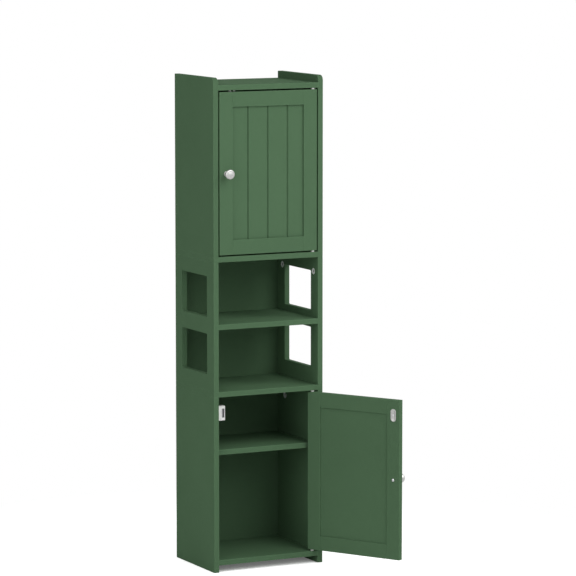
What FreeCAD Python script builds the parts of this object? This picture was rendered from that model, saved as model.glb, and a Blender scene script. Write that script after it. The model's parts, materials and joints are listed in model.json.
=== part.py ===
"""Narrow floor-standing bathroom cabinet: two cupboards with an open pair of bays between them.

Millimetres. The origin is on the floor, in the middle of the footprint. +Z is up, the front faces -Y,
and the doors hang on the right (+X) on pivot pins. The lower door stands open, the upper one is shut.
"""

import FreeCAD
import Part
import Sketcher
import math
import operator
import os
from collections import namedtuple
from types import SimpleNamespace

SIZES = {
    # Boards
    "width": (270, "outside width over both sides"),
    "depth": (200, "depth of every carcass board"),
    "board": (12, "thickness of every carcass board"),
    "lower_height": (394, "height of the lower sides"),
    "middle_height": (288, "height of the middle side frames"),
    "upper_height": (394, "height of the upper sides"),
    "floor_gap": (16, "floor to the underside of the bottom panel"),
    "top_drop": (16, "top of the upper sides down to the top panel"),
    "edge_round": (0.6, "eased edge of a painted board"),
    "top_corner_round": (12, "round of the upper sides' front top corners"),
    # Side frames of the open bays
    "post_width": (35, "front and back posts of a side frame"),
    "frame_bottom_rail": (36, "bottom rail of a side frame"),
    "frame_middle_rail": (37, "rail between the two windows of a side frame"),
    "frame_top_rail": (33, "top rail of a side frame"),
    "window_round": (3, "corner round of a window"),
    "middle_shelf_seat": (11, "bottom of a frame's middle rail up to the underside of the middle shelf"),
    # Back panels
    "back_thickness": (3, "thickness of a back panel"),
    "back_inset": (2, "side of the cabinet to the edge of a back panel"),
    "back_seam": (1, "gap between two back panels"),
    "back_screw_inset": (30, "end of a back panel to its nearest screw"),
    "back_screw_radius": (1.5, "shank of a back panel screw"),
    "back_screw_bite": (12, "length of a back panel screw in the board"),
    "back_screw_head_radius": (3, "head of a back panel screw"),
    "back_screw_head": (1.6, "height of a back panel screw's head"),
    # Adjustable shelves
    "shelf_rise": (245, "cupboard floor up to the top of its shelf"),
    "shelf_setback": (20, "front of the cabinet back to a shelf's front edge"),
    "shelf_side_gap": (1.5, "gap at each end of a shelf"),
    "shelf_back_gap": (1, "gap behind a shelf"),
    "support_inset": (35, "shelf edge to its support pins"),
    "support_radius": (2.5, "support pin"),
    "support_depth": (8, "length of a support pin in the side"),
    "support_reach": (9, "length of a support pin under the shelf"),
    "support_collar_radius": (3.5, "collar of a support pin"),
    "support_collar": (1, "thickness of a support pin's collar"),
    # Cam fittings
    "cam_radius": (7.5, "bore for a cam disc"),
    "cam_depth": (9.5, "depth of a cam disc's bore"),
    "cam_reach": (34, "face of the joint to the cam's centre"),
    "cam_cross_reach": (4, "half length of the cross recess in a cam"),
    "cam_cross_half": (0.9, "half width of the cross recess in a cam"),
    "cam_cross_depth": (1.2, "depth of the cross recess in a cam"),
    "panel_cam_inset": (35, "board edge to the fittings of the panels and the lower sides"),
    "frame_cam_inset": (23, "board edge to the fittings of the side frames"),
    "bolt_thread_radius": (2.5, "threaded end of a cam bolt"),
    "bolt_thread": (9, "length of a cam bolt's threaded end"),
    "bolt_shank_radius": (3, "shank of a cam bolt"),
    "bolt_neck_radius": (1.8, "neck of a cam bolt"),
    "bolt_neck": (4, "length of a cam bolt's neck"),
    "bolt_tip": (3, "cam centre to the end of the bolt"),
    "bolt_channel_radius": (3.4, "bore for a cam bolt in a board's edge"),
    # Dowels and the screws of the dividers
    "dowel_radius": (3, "wooden dowel"),
    "dowel_face_depth": (9, "dowel bore in a board's face"),
    "dowel_edge_depth": (20, "dowel bore in a board's edge"),
    "dowel_chamfer": (0.8, "chamfer on a dowel's ends"),
    "dowel_offset": (20, "centre line to the dowels of the dividers"),
    "divider_screw_inset": (20, "cam fittings of the panels in to the screws of the dividers"),
    "divider_screw_radius": (2, "shank of a divider screw"),
    "divider_screw_bite": (26, "length of a divider screw in the side above"),
    "divider_screw_head_radius": (4, "head of a divider screw"),
    "divider_screw_head": (3, "height of a divider screw's head"),
    # Clearances
    "fit_gap": (0.05, "radial clearance of a fastener or plug in its bore"),
    "end_gap": (0.5, "clearance at the blind end of a bore"),
    "running_gap": (0.05, "radial clearance of a pivot pin in its bush"),
    "overrun": (1, "how far a cut starts outside the face that it enters"),
    # Doors
    "door_thickness": (12, "thickness of a door's frame"),
    "door_side_gap": (3, "gap beside a door"),
    "door_end_gap": (3.5, "gap above and below a door"),
    "stile_width": (32.5, "width of a door's stiles"),
    "rail_width": (33, "width of a door's rails"),
    "door_panel_thickness": (5, "thickness of a door's centre panel"),
    "door_panel_setback": (0.6, "how far a centre panel lies behind the middle of its frame"),
    "door_groove_depth": (8, "groove in the frame for the centre panel"),
    "panel_float": (0.5, "clearance of the centre panel and tenons in their grooves"),
    "bead_pitch": (48.7, "distance between the centre panel's grooves"),
    "bead_width": (4.5, "width of a groove in the centre panel"),
    "bead_depth": (2.6, "depth of a groove in the centre panel"),
    "pivot_inset": (11, "inner face of the side to the pivot"),
    "pivot_setback": (5.5, "front of the cabinet back to the pivot"),
    "pivot_radius": (2, "pivot pin"),
    "pivot_grip": (20, "length of a pivot pin in the door"),
    "pivot_end_gap": (1, "end of a pivot pin to the end of its bush"),
    "bush_radius": (3.5, "sleeve of a pivot bush"),
    "bush_depth": (8, "length of a pivot bush's sleeve"),
    "bush_collar_radius": (4, "collar of a pivot bush"),
    "bush_door_gap": (0.25, "collar of a pivot bush to the door"),
    "lower_door_angle": (120.5, "how far the lower door stands open, degrees"),
    "upper_door_angle": (0, "how far the upper door stands open, degrees"),
    # Knobs
    "knob_base_radius": (5, "knob where it meets the door"),
    "knob_base": (3, "length of a knob's straight foot"),
    "knob_flare": (19, "door to the rim of a knob"),
    "knob_flare_curve": (30, "hollow curve of a knob's flare"),
    "knob_radius": (11, "rim of a knob"),
    "knob_rim": (1.5, "straight part of a knob's rim"),
    "knob_rim_round": (1.5, "round of a knob's rim"),
    "knob_dome": (0.8, "rise of a knob's face"),
    "knob_screw_radius": (2, "shank of a knob screw"),
    "knob_screw_gap": (0.2, "radial clearance of a knob screw in the door"),
    "knob_screw_bite": (8, "length of a knob screw in the knob"),
    "knob_screw_head_radius": (3.4, "head of a knob screw"),
    "knob_screw_head": (2.2, "height of a knob screw's head"),
    # Magnetic catches
    "strike_width": (13.6, "width of a strike plate"),
    "strike_height": (28, "height of a strike plate"),
    "strike_thickness": (1.2, "thickness of a strike plate"),
    "strike_corner": (6.5, "corner round of a strike plate"),
    "strike_drop": (34.5, "top of the door down to the strike plate's centre"),
    "strike_screw_radius": (1.5, "shank of a strike plate screw"),
    "strike_screw_bite": (9, "length of a strike plate screw in the door"),
    "strike_sink": (1, "depth of the countersink in a strike plate"),
    "catch_gap": (0.3, "strike plate to the poles with the door shut"),
    "catch_width": (22, "catch body out from the side"),
    "catch_height": (33, "height of a catch body"),
    "catch_depth": (14, "depth of a catch body"),
    "catch_round": (1.2, "eased edge of a catch body"),
    "pole_proud": (0.5, "how far the poles stand out of a catch body"),
    "pole_offset": (17, "side to the middle of the magnet"),
    "pole_thickness": (1.5, "thickness of a pole plate"),
    "pole_height": (20, "height of a pole plate"),
    "pole_depth": (10, "length of a pole plate"),
    "magnet_thickness": (4, "thickness of a catch's magnet"),
    "magnet_recess": (1.5, "front of the poles back to the magnet"),
    "catch_screw_offset": (13.2, "middle of a catch to its screws"),
    "catch_screw_radius": (1.5, "shank of a catch screw"),
    "catch_screw_bite": (8, "length of a catch screw in the side"),
    "catch_screw_head_radius": (2.6, "head of a catch screw"),
    "catch_screw_head": (2, "height of a catch screw's head"),
    # Stop pegs above the upper door
    "stop_inset": (35, "inner face of the left side to the first stop peg"),
    "stop_pitch": (10.4, "distance between the stop pegs"),
    "stop_radius": (2.5, "stop peg"),
    "stop_grip": (8, "length of a stop peg in the top panel"),
    "stop_drop": (6, "length of a stop peg below the top panel"),
    "stop_gap": (0.3, "shut door to a stop peg"),
}

BEAD_STEPS = (-1, 0, 1)
STOP_STEPS = (0, 1)
BOTH = (-1, 1)
LEFT, RIGHT = BOTH
PLANES = {"x": "YZ_Plane", "y": "XZ_Plane", "z": "XY_Plane"}
OPERATIONS = {"+": operator.add, "-": operator.sub, "*": operator.mul, "/": operator.truediv}

Frame = namedtuple("Frame", "x y z angle", defaults=(0, 0, 0, 0))
Corner = namedtuple("Corner", "across up curve side", defaults=(None, 1))
Hole = namedtuple("Hole", "radius depth")


class Size:
    """A size that carries its number and the sheet expression that gives it."""

    def __init__(self, text, number):
        self.text = text
        self.number = number

    def __add__(self, other):
        return combined(self, "+", other)

    def __radd__(self, other):
        return combined(other, "+", self)

    def __sub__(self, other):
        return combined(self, "-", other)

    def __rsub__(self, other):
        return combined(other, "-", self)

    def __mul__(self, other):
        return combined(self, "*", other)

    __rmul__ = __mul__

    def __truediv__(self, other):
        return combined(self, "/", other)

    def __neg__(self):
        return combined(0, "-", self)


def as_size(thing):
    return thing if isinstance(thing, Size) else Size(f"{thing}", thing)


def combined(left, sign, right):
    left = as_size(left)
    right = as_size(right)
    return Size(f"({left.text} {sign} {right.text})", OPERATIONS[sign](left.number, right.number))


def make_sheet():
    sheet = doc.addObject("Spreadsheet::Sheet", "Sizes")
    for row, (alias, (number, meaning)) in enumerate(SIZES.items(), start=1):
        sheet.set(f"A{row}", meaning)
        sheet.set(f"B{row}", str(number))
        sheet.setAlias(f"B{row}", alias)
    doc.recompute()
    return sheet


def vector(x, y, z):
    return FreeCAD.Vector(as_size(x).number, as_size(y).number, as_size(z).number)


def bind(thing, name, size):
    thing.setExpression(name, as_size(size).text)


# Sketches and features

def new_body(label, frame):
    body = doc.addObject("PartDesign::Body", label)
    body.Label = label
    body.AllowCompound = True
    turn = FreeCAD.Rotation(FreeCAD.Vector(0, 0, 1), as_size(frame.angle).number)
    body.Placement = FreeCAD.Placement(vector(frame.x, frame.y, frame.z), turn)
    for axis in "xyz":
        bind(body, f"Placement.Base.{axis}", getattr(frame, axis))
    bind(body, "Placement.Rotation.Angle", frame.angle)
    return body


def new_sketch(body, axis, offset):
    """A sketch square to an axis of the body, moved by an offset in the sketch's own directions."""
    sketch = body.newObject("Sketcher::SketchObject", f"{body.Name}_sketch")
    plane = next(f for f in body.Origin.OriginFeatures if f.Role == PLANES[axis])
    sketch.AttachmentSupport = [(plane, "")]
    sketch.MapMode = "FlatFace"
    for name, size in zip("xyz", offset):
        bind(sketch, f"AttachmentOffset.Base.{name}", size)
    return sketch


def flat_sketch(body, axis, at):
    return new_sketch(body, axis, (0, 0, -at if axis == "y" else at))


def fix(sketch, kind, where, size):
    size = as_size(size)
    index = sketch.addConstraint(Sketcher.Constraint(kind, *where, size.number))
    sketch.setExpression(f"Constraints[{index}]", size.text)


def edge_between(start, finish, curve, side):
    if curve is None:
        return Part.LineSegment(start, finish)
    radius = as_size(curve).number
    chord = finish - start
    across = FreeCAD.Vector(-chord.y, chord.x, 0).normalize() * side
    centre = (start + finish) / 2 + across * math.sqrt(radius**2 - (chord.Length / 2) ** 2)
    return Part.Arc(start, centre - across * radius, finish)


def outline(sketch, corners):
    """A closed outline, in which a corner with a curve starts an arc of that radius."""
    points = [vector(corner.across, corner.up, 0) for corner in corners]
    edges = []
    for corner, start, finish in zip(corners, points, points[1:] + points[:1]):
        edge = sketch.addGeometry(edge_between(start, finish, corner.curve, corner.side), False)
        starts_here = (sketch.getPoint(edge, 1) - start).Length < (sketch.getPoint(edge, 2) - start).Length
        edges.append((edge, 1, 2) if starts_here else (edge, 2, 1))
    for corner, (edge, first, last), following in zip(corners, edges, edges[1:] + edges[:1]):
        sketch.addConstraint(Sketcher.Constraint("Coincident", edge, last, following[0], following[1]))
        fix(sketch, "DistanceX", (-1, 1, edge, first), corner.across)
        fix(sketch, "DistanceY", (-1, 1, edge, first), corner.up)
        if corner.curve is not None:
            fix(sketch, "Radius", (edge,), corner.curve)


def rectangle(across, up):
    return [
        Corner(across[0], up[0]),
        Corner(across[1], up[0]),
        Corner(across[1], up[1]),
        Corner(across[0], up[1]),
    ]


def rounded_rectangle(across, up, radius):
    return [
        Corner(across[0] + radius, up[0]),
        Corner(across[1] - radius, up[0], radius),
        Corner(across[1], up[0] + radius),
        Corner(across[1], up[1] - radius, radius),
        Corner(across[1] - radius, up[1]),
        Corner(across[0] + radius, up[1], radius),
        Corner(across[0], up[1] - radius),
        Corner(across[0], up[0] + radius, radius),
    ]


def feature(body, kind, sketch):
    made = body.newObject(f"PartDesign::{kind}", f"{body.Name}_{kind.lower()}")
    made.Profile = sketch
    body.Tip = made
    return made


def pad(body, axis, at, corners, length, towards=1):
    sketch = flat_sketch(body, axis, at)
    outline(sketch, corners)
    made = feature(body, "Pad", sketch)
    bind(made, "Length", length)
    made.Reversed = (towards < 0) != (axis == "y")
    return made


def pocket(body, axis, sketch, depth, into):
    made = feature(body, "Pocket", sketch)
    bind(made, "Length", depth)
    made.Reversed = (into > 0) != (axis == "y")
    return made


def cut(body, axis, at, into, corners, depth):
    sketch = flat_sketch(body, axis, at)
    outline(sketch, corners)
    return pocket(body, axis, sketch, depth, into)


def drill(body, axis, at, into, centres, hole):
    """Equal round holes into one face."""
    sketch = flat_sketch(body, axis, at)
    for across, up in centres:
        radius = as_size(hole.radius).number
        circle = Part.Circle(vector(across, up, 0), FreeCAD.Vector(0, 0, 1), radius)
        edge = sketch.addGeometry(circle, False)
        fix(sketch, "Radius", (edge,), hole.radius)
        fix(sketch, "DistanceX", (-1, 1, edge, 3), across)
        fix(sketch, "DistanceY", (-1, 1, edge, 3), up)
    return pocket(body, axis, sketch, hole.depth, into)


def turned(body, axis, centre, profile):
    """A round piece about a line through centre, from corners of (radius, distance along the axis)."""
    x, y, z = centre
    sketch = new_sketch(body, "y", (x, z, -y)) if axis == "z" else new_sketch(body, "z", centre)
    if axis == "x":
        profile = [Corner(c.up, c.across, c.curve, -c.side) for c in profile]
    outline(sketch, profile)
    made = feature(body, "Revolution", sketch)
    made.ReferenceAxis = (sketch, ["H_Axis" if axis == "x" else "V_Axis"])
    made.Angle = 360
    return made


def soften(body, radius):
    """Eases every edge of what the body has so far."""
    doc.recompute()
    base = body.Tip
    made = body.newObject("PartDesign::Fillet", f"{body.Name}_round")
    made.Base = (base, ["Edge1"])
    made.UseAllEdges = True
    bind(made, "Radius", radius)
    body.Tip = made
    return made


def dress(body, kind, chosen, name, size):
    """A fillet or chamfer on the edges that a test picks."""
    doc.recompute()
    base = body.Tip
    names = [f"Edge{n}" for n, edge in enumerate(base.Shape.Edges, start=1) if chosen(edge)]
    made = body.newObject(f"PartDesign::{kind}", f"{body.Name}_{kind.lower()}")
    made.Base = (base, names)
    bind(made, name, size)
    body.Tip = made
    return made


def board(label, frame, x, y, z, eased=None):
    body = new_body(label, frame)
    pad(body, "z", z[0], rectangle(x, y), z[1] - z[0])
    if eased is not None:
        soften(body, eased)
    return body


def group(label, master, places):
    """Separate copies of one small piece, in one sub-part."""
    doc.recompute()
    made = doc.addObject("Part::Feature", label)
    made.Label = label
    copies = []
    for place in places:
        copy = master.Shape.copy()
        copy.Placement = place.multiply(copy.Placement)
        copies.append(copy.Solids[0])
    made.Shape = Part.makeCompound(copies)
    made.Placement = FreeCAD.Placement()
    return made


def placed(at, along, face):
    """A placement whose X runs along a direction and whose Z looks out of a face."""
    x = FreeCAD.Vector(*along)
    z = FreeCAD.Vector(*face)
    return FreeCAD.Placement(vector(*at), FreeCAD.Rotation(x, z.cross(x), z, "ZXY"))


def pointing(at, direction):
    turn = FreeCAD.Rotation(FreeCAD.Vector(0, 0, 1), FreeCAD.Vector(*direction))
    return FreeCAD.Placement(vector(*at), turn)


doc = FreeCAD.newDocument("BathroomCabinet")
sheet = make_sheet()
S = SimpleNamespace(**{alias: Size(f"Sizes.{alias}", sheet.get(alias)) for alias in SIZES})

# Planes and levels of the carcass

half = S.width / 2
inner = half - S.board
side_middle = half - S.board / 2
front = -S.depth / 2
back = S.depth / 2
panel_fittings = back - S.panel_cam_inset
frame_fittings = back - S.frame_cam_inset
divider_screw_row = panel_fittings - S.divider_screw_inset

lower_floor = S.floor_gap + S.board
lower_clear = S.lower_height - lower_floor
middle_base = S.lower_height + S.board
upper_divider_base = middle_base + S.middle_height
upper_base = upper_divider_base + S.board
upper_clear = S.upper_height - S.top_drop - S.board
top_panel_base = upper_base + upper_clear
frame_rails = S.frame_bottom_rail + S.frame_middle_rail + S.frame_top_rail
window_height = (S.middle_height - frame_rails) / 2
middle_rail = S.frame_bottom_rail + window_height
middle_shelf_rise = middle_rail + S.middle_shelf_seat
middle_shelf_base = middle_base + middle_shelf_rise

lower_frame = Frame()
lower_divider_frame = Frame(z=S.lower_height)
middle_frame = Frame(z=middle_base)
upper_divider_frame = Frame(z=upper_divider_base)
upper_frame = Frame(z=upper_base)

# Places shared by holes and what goes in them

pivot_x = inner - S.pivot_inset
pivot_y = front + S.pivot_setback
shelf_front = front + S.shelf_setback
shelf_back = back - S.shelf_back_gap
support_rows = (shelf_front + S.support_inset, shelf_back - S.support_inset)
support_level = S.shelf_rise - S.board - S.support_radius
catch_front = front + S.door_thickness + S.strike_thickness + S.catch_gap + S.pole_proud
catch_middle = catch_front + S.catch_depth / 2
catch_fall = S.door_end_gap + S.strike_drop
lower_catch = lower_clear - catch_fall
upper_catch = upper_clear - catch_fall
stop_places = [S.stop_inset - inner + step * S.stop_pitch for step in STOP_STEPS]
stop_y = front + S.door_thickness + S.stop_gap + S.stop_radius

lower_back_span = (S.floor_gap, S.lower_height + (S.board - S.back_seam) / 2)
middle_back_span = (
    S.lower_height + (S.board + S.back_seam) / 2,
    upper_divider_base + (S.board - S.back_seam) / 2,
)
upper_back_span = (upper_divider_base + (S.board + S.back_seam) / 2, top_panel_base + S.board)


def back_screw_levels(span):
    low, high = span
    return [low + S.back_screw_inset, (low + high) / 2, high - S.back_screw_inset]


# Holes

bolt_hole = Hole(S.bolt_thread_radius + S.fit_gap, S.bolt_thread + S.end_gap)
cam_hole = Hole(S.cam_radius, S.cam_depth)
channel = Hole(S.bolt_channel_radius, S.cam_reach + S.bolt_tip + S.end_gap)
dowel_in_face = Hole(S.dowel_radius + S.fit_gap, S.dowel_face_depth)
dowel_in_edge = Hole(S.dowel_radius + S.fit_gap, S.dowel_edge_depth)
support_hole = Hole(S.support_radius + S.fit_gap, S.support_depth + S.end_gap)
back_screw_hole = Hole(S.back_screw_radius + S.fit_gap, S.back_screw_bite + S.end_gap)
back_panel_hole = Hole(S.back_screw_radius + S.fit_gap, S.back_thickness)
divider_screw_hole = Hole(S.divider_screw_radius + S.fit_gap, S.divider_screw_bite + S.end_gap)
divider_through = Hole(S.divider_screw_radius + S.fit_gap, S.board)
divider_counterbore = Hole(S.divider_screw_head_radius + S.fit_gap, S.divider_screw_head + S.fit_gap)
bush_hole = Hole(S.bush_radius + S.fit_gap, S.bush_depth + S.end_gap)
stop_hole = Hole(S.stop_radius + S.fit_gap, S.stop_grip + S.end_gap)
catch_screw_hole = Hole(S.catch_screw_radius + S.fit_gap, S.catch_screw_bite + S.end_gap)


# Carcass boards

def new_side(name, frame, side, height, rounded_top=False):
    label = f"{name}_left" if side == LEFT else f"{name}_right"
    body = new_body(label, frame)
    x = (inner, half) if side == RIGHT else (-half, -inner)
    pad(body, "z", 0, rectangle(x, (front, back)), height)
    if rounded_top:
        def top_corner(edge):
            ends = edge.Vertexes
            level = all(abs(v.Z - height.number) < S.fit_gap.number for v in ends)
            at_front = all(abs(v.Y - front.number) < S.fit_gap.number for v in ends)
            return level and at_front

        dress(body, "Fillet", top_corner, "Radius", S.top_corner_round)
    soften(body, S.edge_round)
    return body


def side_drill(body, side, centres, hole):
    drill(body, "x", side * inner, side, centres, hole)


def fix_panel(body, side, level):
    """Bolt and dowel holes for a panel that butts against the side."""
    side_drill(body, side, [(row * panel_fittings, level) for row in BOTH], bolt_hole)
    side_drill(body, side, [(0, level)], dowel_in_face)


def cam_top(body, side, height, fittings):
    """Cams under the divider that lies on the side, with the bores of their bolts and a dowel."""
    x = side * side_middle
    side_drill(body, side, [(row * fittings, height - S.cam_reach) for row in BOTH], cam_hole)
    drill(body, "z", height, -1, [(x, row * fittings) for row in BOTH], channel)
    drill(body, "z", height, -1, [(x, -S.dowel_offset)], dowel_in_edge)


def screwed_bottom(body, side):
    """Holes for the screws and the dowel that come up through the divider below."""
    x = side * side_middle
    drill(body, "z", 0, 1, [(x, row * divider_screw_row) for row in BOTH], divider_screw_hole)
    drill(body, "z", 0, 1, [(x, S.dowel_offset)], dowel_in_edge)


def screwed_back(body, side, levels, base):
    drill(body, "y", back, -1, [(side * side_middle, level - base) for level in levels], back_screw_hole)


def shelf_holes(body, side, floor):
    side_drill(body, side, [(row, floor + support_level) for row in support_rows], support_hole)


def catch_holes(body, level):
    centres = [(catch_middle, level + row * S.catch_screw_offset) for row in BOTH]
    side_drill(body, LEFT, centres, catch_screw_hole)


def lower_side(side):
    body = new_side("lower_side", lower_frame, side, S.lower_height)
    fix_panel(body, side, S.floor_gap + S.board / 2)
    shelf_holes(body, side, lower_floor)
    cam_top(body, side, S.lower_height, panel_fittings)
    screwed_back(body, side, back_screw_levels(lower_back_span), 0)
    if side == LEFT:
        catch_holes(body, lower_floor + lower_catch)
    return body


def middle_side(side):
    body = new_side("middle_side", middle_frame, side, S.middle_height)
    across = (front + S.post_width, back - S.post_width)
    for low in (S.frame_bottom_rail, middle_rail + S.frame_middle_rail):
        corners = rounded_rectangle(across, (low, low + window_height), S.window_round)
        cut(body, "x", side * inner, side, corners, S.board)
    fix_panel(body, side, middle_shelf_rise + S.board / 2)
    cam_top(body, side, S.middle_height, frame_fittings)
    screwed_bottom(body, side)
    screwed_back(body, side, back_screw_levels(middle_back_span), middle_base)
    return body


def upper_side(side):
    body = new_side("upper_side", upper_frame, side, S.upper_height, rounded_top=True)
    fix_panel(body, side, upper_clear + S.board / 2)
    shelf_holes(body, side, 0)
    screwed_bottom(body, side)
    screwed_back(body, side, back_screw_levels(upper_back_span), upper_base)
    if side == LEFT:
        catch_holes(body, upper_catch)
    return body


def fitted_panel(label, base):
    """A panel between the sides, held by cams in its underside."""
    body = board(label, Frame(z=base), (-inner, inner), (front, back), (0, S.board), S.edge_round)
    cam_x = inner - S.cam_reach
    cams = [(side * cam_x, row * panel_fittings) for side in BOTH for row in BOTH]
    drill(body, "z", 0, 1, cams, cam_hole)
    for side in BOTH:
        centres = [(row * panel_fittings, S.board / 2) for row in BOTH]
        drill(body, "x", side * inner, -side, centres, channel)
        drill(body, "x", side * inner, -side, [(0, S.board / 2)], dowel_in_edge)
    return body


def bottom_panel():
    body = fitted_panel("bottom_panel", S.floor_gap)
    drill(body, "z", S.board, -1, [(pivot_x, pivot_y)], bush_hole)


def top_panel():
    body = fitted_panel("top_panel", top_panel_base)
    drill(body, "z", 0, 1, [(pivot_x, pivot_y)], bush_hole)
    drill(body, "z", 0, 1, [(x, stop_y) for x in stop_places], stop_hole)


def divider(label, frame, fittings):
    """A full-width board: cam bolts hold it to the sides below, screws to the sides above."""
    body = board(label, frame, (-half, half), (front, back), (0, S.board), S.edge_round)
    bolts = [(side * side_middle, row * fittings) for side in BOTH for row in BOTH]
    screws = [(side * side_middle, row * divider_screw_row) for side in BOTH for row in BOTH]
    drill(body, "z", 0, 1, bolts, bolt_hole)
    drill(body, "z", 0, 1, screws, divider_through)
    drill(body, "z", 0, 1, screws, divider_counterbore)
    drill(body, "z", 0, 1, [(side * side_middle, -S.dowel_offset) for side in BOTH], dowel_in_face)
    drill(body, "z", S.board, -1, [(side * side_middle, S.dowel_offset) for side in BOTH], dowel_in_face)
    return body


def dividers():
    lower = divider("lower_divider", lower_divider_frame, panel_fittings)
    drill(lower, "z", 0, 1, [(pivot_x, pivot_y)], bush_hole)
    upper = divider("upper_divider", upper_divider_frame, frame_fittings)
    drill(upper, "z", S.board, -1, [(pivot_x, pivot_y)], bush_hole)


def back_panel(label, span):
    low, high = span
    reach = half - S.back_inset
    depth_range = (back, back + S.back_thickness)
    body = board(label, Frame(), (-reach, reach), depth_range, span, S.edge_round)
    levels = back_screw_levels((low, high))
    centres = [(side * side_middle, level) for side in BOTH for level in levels]
    drill(body, "y", back, 1, centres, back_panel_hole)


def shelf(label, floor):
    reach = inner - S.shelf_side_gap
    top = floor + S.shelf_rise
    board(label, Frame(), (-reach, reach), (shelf_front, shelf_back), (top - S.board, top), S.edge_round)


def shelf_supports(label, floor):
    """Four pins in the sides, with a collar against the side and a plain end under the shelf."""
    body = new_body(label, Frame(z=floor + support_level))
    for side in BOTH:
        profile = [
            Corner(0, side * S.support_depth),
            Corner(S.support_radius, side * S.support_depth),
            Corner(S.support_radius, 0),
            Corner(S.support_collar_radius, 0),
            Corner(S.support_collar_radius, -side * S.support_collar),
            Corner(S.support_radius, -side * S.support_collar),
            Corner(S.support_radius, -side * S.support_reach),
            Corner(0, -side * S.support_reach),
        ]
        for row in support_rows:
            turned(body, "x", (side * inner, row, 0), profile)


# Fasteners of the carcass

def cam_master():
    """A cam disc: its face at z 0, its bolt slot open towards +X."""
    body = new_body("cam_pattern", Frame())
    radius = S.cam_radius - S.fit_gap
    depth = S.cam_depth - S.fit_gap
    turned(body, "z", (0, 0, 0), [Corner(0, -depth), Corner(radius, -depth), Corner(radius, 0), Corner(0, 0)])
    slot = Hole(S.bolt_channel_radius, S.cam_radius + S.bolt_tip + S.end_gap)
    drill(body, "x", S.cam_radius, -1, [(0, -S.board / 2)], slot)
    long, short = S.cam_cross_reach, S.cam_cross_half
    cross = [(long, -short), (long, short), (short, short), (short, long), (-short, long), (-short, short)]
    corners = [Corner(x, y) for x, y in cross] + [Corner(-x, -y) for x, y in cross]
    cut(body, "z", 0, -1, corners, S.cam_cross_depth)
    return body


def bolt_master():
    """A cam bolt: its thread below z 0, its head up in the cam."""
    body = new_body("bolt_pattern", Frame())
    head = S.cam_reach - S.bolt_tip
    profile = [
        Corner(0, -S.bolt_thread),
        Corner(S.bolt_thread_radius, -S.bolt_thread),
        Corner(S.bolt_thread_radius, 0),
        Corner(S.bolt_shank_radius, 0),
        Corner(S.bolt_shank_radius, head - S.bolt_neck),
        Corner(S.bolt_neck_radius, head - S.bolt_neck),
        Corner(S.bolt_neck_radius, head),
        Corner(S.bolt_shank_radius, head),
        Corner(S.bolt_shank_radius, S.cam_reach + S.bolt_tip),
        Corner(0, S.cam_reach + S.bolt_tip),
    ]
    turned(body, "z", (0, 0, 0), profile)
    return body


def dowel_master():
    """A dowel: below z 0 in a board's face, above it in a board's edge."""
    body = new_body("dowel_pattern", Frame())
    low = S.end_gap - S.dowel_face_depth
    high = S.dowel_edge_depth - S.end_gap
    slim = S.dowel_radius - S.dowel_chamfer
    profile = [
        Corner(0, low),
        Corner(slim, low),
        Corner(S.dowel_radius, low + S.dowel_chamfer),
        Corner(S.dowel_radius, high - S.dowel_chamfer),
        Corner(slim, high),
        Corner(0, high),
    ]
    turned(body, "z", (0, 0, 0), profile)
    return body


def screw_master(label, head_radius, head, radius, length):
    """A screw with its head up to z 0 and its shank above."""
    body = new_body(label, Frame())
    profile = [
        Corner(0, 0),
        Corner(head_radius, 0),
        Corner(head_radius, head),
        Corner(radius, head),
        Corner(radius, length - radius),
        Corner(0, length),
    ]
    turned(body, "z", (0, 0, 0), profile)
    return body


def panel_places():
    """Side, row and underside level of each fitting that joins a panel to a side."""
    bases = (S.floor_gap, middle_shelf_base, top_panel_base)
    return [(side, row, base) for base in bases for side in BOTH for row in BOTH]


def side_places():
    """Side, place along the depth and top level of each fitting that joins a divider to a side."""
    tops = ((S.lower_height, panel_fittings), (upper_divider_base, frame_fittings))
    return [(side, row * fittings, top) for top, fittings in tops for side in BOTH for row in BOTH]


def cam_fittings():
    up = (0, 0, 1)
    down = (0, 0, -1)
    discs = []
    bolts = []
    for side, row, base in panel_places():
        y = row * panel_fittings
        discs.append(placed((side * (inner - S.cam_reach), y, base), (side, 0, 0), down))
        bolts.append(pointing((side * inner, y, base + S.board / 2), (-side, 0, 0)))
    for side, y, top in side_places():
        discs.append(placed((side * inner, y, top - S.cam_reach), up, (-side, 0, 0)))
        bolts.append(pointing((side * side_middle, y, top), down))
    group("cam_discs", cam_master(), discs)
    group("cam_bolts", bolt_master(), bolts)


def dowels():
    places = []
    for side in BOTH:
        for base in (S.floor_gap, middle_shelf_base, top_panel_base):
            places.append(pointing((side * inner, 0, base + S.board / 2), (-side, 0, 0)))
        for base in (S.lower_height, upper_divider_base):
            x = side * side_middle
            places.append(pointing((x, -S.dowel_offset, base), (0, 0, -1)))
            places.append(pointing((x, S.dowel_offset, base + S.board), (0, 0, 1)))
    group("dowels", dowel_master(), places)


def divider_screws():
    master = screw_master(
        "divider_screw_pattern",
        S.divider_screw_head_radius,
        S.divider_screw_head,
        S.divider_screw_radius,
        S.board + S.divider_screw_bite,
    )
    bases = (S.lower_height, upper_divider_base)
    spots = [(side, row, base) for base in bases for side in BOTH for row in BOTH]
    places = [
        pointing((side * side_middle, row * divider_screw_row, base), (0, 0, 1))
        for side, row, base in spots
    ]
    group("divider_screws", master, places)


def back_screws():
    length = S.back_screw_head + S.back_thickness + S.back_screw_bite
    master = screw_master(
        "back_screw_pattern", S.back_screw_head_radius, S.back_screw_head, S.back_screw_radius, length
    )
    outside = back + S.back_thickness + S.back_screw_head
    spans = (lower_back_span, middle_back_span, upper_back_span)
    levels = [level for span in spans for level in back_screw_levels(span)]
    places = [
        pointing((side * side_middle, outside, level), (0, -1, 0)) for side in BOTH for level in levels
    ]
    group("back_screws", master, places)


# Hinge bushes, catches and stop pegs

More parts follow.
